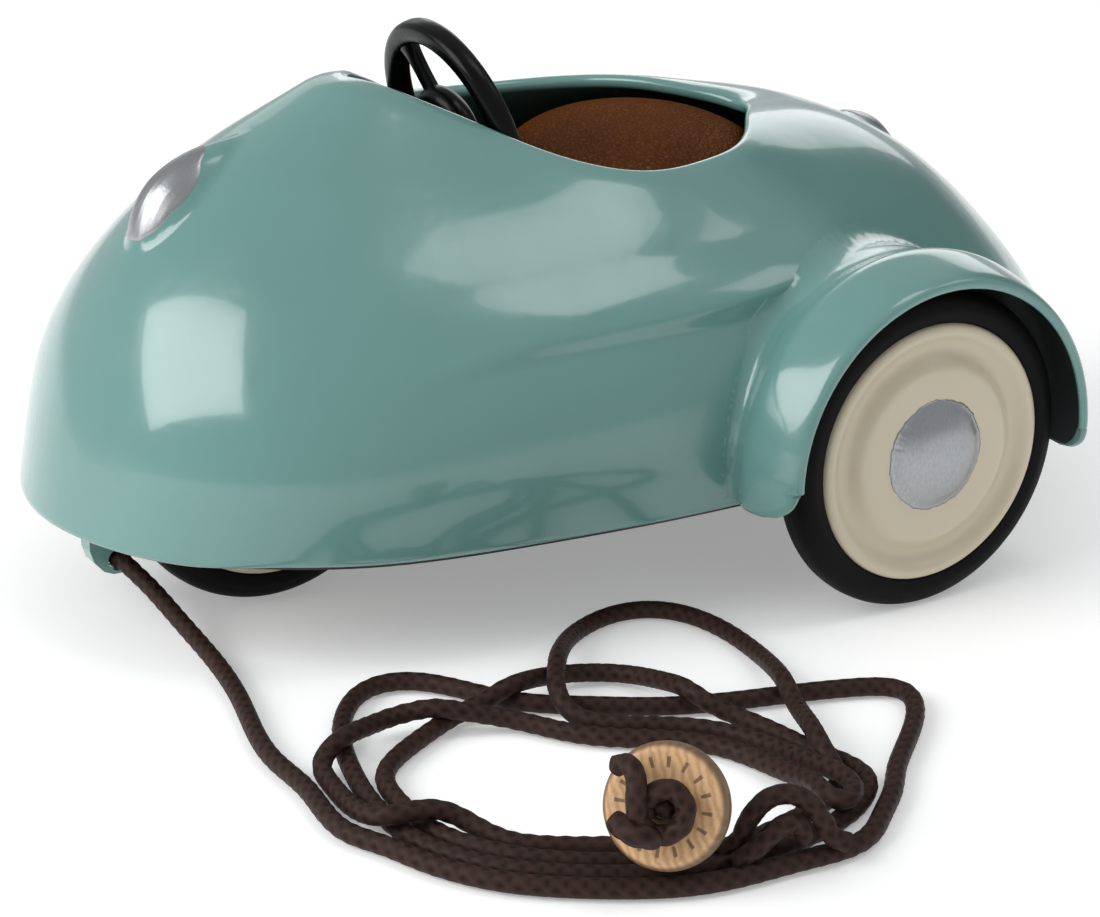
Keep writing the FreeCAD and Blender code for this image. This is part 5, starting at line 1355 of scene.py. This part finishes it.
# ------------------------------------------------------------------ pieces kept from the CAD
CAD_MATERIALS = [
    (UNDER, ["floor_pan", "seat_pan"]),
    # the dash inside the cockpit gets the dark painted shade
    (INSIDE_PAINTED_SHADE, ["dash_panel"]),
    (TEAL, ["tow_lug"]),
    (BLACK, ["steering_column"]),
    (STEEL, ["rear_axle", "front_axle", "idler_shaft", "winding_arbor", "floor_screws"]),
    (PLATE, ["motor_case_left", "motor_case_right"]),
    (BLUED, ["mainspring"]),
    (BRASS, ["axle_gear", "idler_gear", "arbor_gear", "front_bush", "rear_left_bush",
             "rear_right_bush", "column_bush"]),
    (CAST, ["front_bearing_block"]),
]
SOFT_EDGES = {"tow_lug": 0.0005, "floor_pan": 0.00025, "seat_pan": 0.00025,
              "front_bearing_block": 0.00025}   # bevel widths in metres

for material, names in CAD_MATERIALS:
    for name in names:
        NODES[name].data.materials.clear()
        NODES[name].data.materials.append(material)
for name, width in SOFT_EDGES.items():
    bevel = NODES[name].modifiers.new("soft_edges", "BEVEL")
    bevel.width = width
    bevel.segments = 3
    bevel.limit_method = "ANGLE"
    bevel.angle_limit = math.radians(35)

# ------------------------------------------------------------------ floor, light and camera


def studio_floor():
    cells, half, height = 40, 3.0, -0.0141
    ticks = [(i / cells - 0.5) * 2 * half for i in range(cells + 1)]
    surface = Surface("pale_floor", textured=False)
    surface.principled({
        "Base Color": (0.93, 0.93, 0.93, 1),
        "Emission Color": (1, 1, 1, 1),
        "Emission Strength": 0.28,
        "Roughness": 0.7,
        "Specular IOR Level": 0.2,
    })
    mesh_object("studio_floor", [(x, y, height) for x in ticks for y in ticks],
                         grid_faces(cells + 1, cells + 1, False), [surface.material])


def studio_world():
    """A pale room that darkens behind the tail; the camera itself sees an even backdrop."""
    room, corner, backdrop = 0.52, 0.10, 0.98
    world = bpy.data.worlds.new("studio")
    bpy.context.scene.world = world
    world.use_nodes = True
    nodes = Nodes(world.node_tree)
    background = world.node_tree.nodes["Background"]
    nodes.fill(background, {0: (0.93, 0.95, 0.96, 1), 1: room})
    facing = nodes.add("VectorMath", {0: nodes.add("TexCoord").outputs["Generated"],
                                      1: (-0.25, 0.90, 0.36)}, operation="DOT_PRODUCT")
    falloff = nodes.remap(facing.outputs["Value"], span=(0.90, 0.975), to=(room, corner))
    camera_ray = nodes.add("LightPath").outputs["Is Camera Ray"]
    strength = nodes.add("Mix", {0: camera_ray, 2: falloff, 3: backdrop}, data_type="FLOAT")
    nodes.fill(background, {1: strength.outputs[0]})


# Azimuth from +X, elevation and roll in degrees; distance, width and height in metres; watts.
SOFTBOXES = [
    # name, azimuth, elevation, distance, width, height, power, roll
    ("softbox_front", -98, 32, 0.9, 0.70, 0.50, 5.6, 36),
    ("softbox_top", 42, 68.5, 1.0, 0.27, 0.37, 0.9, 0),
    ("softbox_side", 58, 44, 1.1, 0.36, 0.24, 0.5, 0),
    ("softbox_low_back", 137, 20, 1.2, 0.75, 0.40, 1.5, 0),
    ("softbox_far", 166, 24, 1.3, 0.5, 0.4, 0.35, 0),
]
LIGHT_TARGET = Vector((0, 0, 0.02))


def softbox(name, azimuth, elevation, distance, width, height, power, roll):
    light = bpy.data.lights.new(name, "AREA")
    light.shape = "RECTANGLE"
    light.size, light.size_y = width, height
    light.energy = power
    ob = bpy.data.objects.new(name, light)
    a, e = math.radians(azimuth), math.radians(elevation)
    away = Vector((math.cos(e) * math.cos(a), math.cos(e) * math.sin(a), math.sin(e)))
    ob.location = LIGHT_TARGET + away * distance
    turn = Quaternion((0, 0, 1), math.radians(roll))
    ob.rotation_euler = (away.to_track_quat("Z", "Y") @ turn).to_euler()
    bpy.context.scene.collection.objects.link(ob)


def camera():
    data = bpy.data.cameras.new("camera")
    data.lens = 91.64
    data.sensor_width = 36.0
    data.clip_start = 0.01
    ob = bpy.data.objects.new("camera", data)
    ob.location = (0.30422, -0.17643, 0.12746)
    ob.rotation_euler = Vector(VIEW_BACK).normalized().to_track_quat("Z", "Y").to_euler()
    bpy.context.scene.collection.objects.link(ob)
    bpy.context.scene.camera = ob


studio_floor()
studio_world()
for row in SOFTBOXES:
    softbox(*row)
camera()
bpy.context.scene.view_settings.view_transform = "Standard"
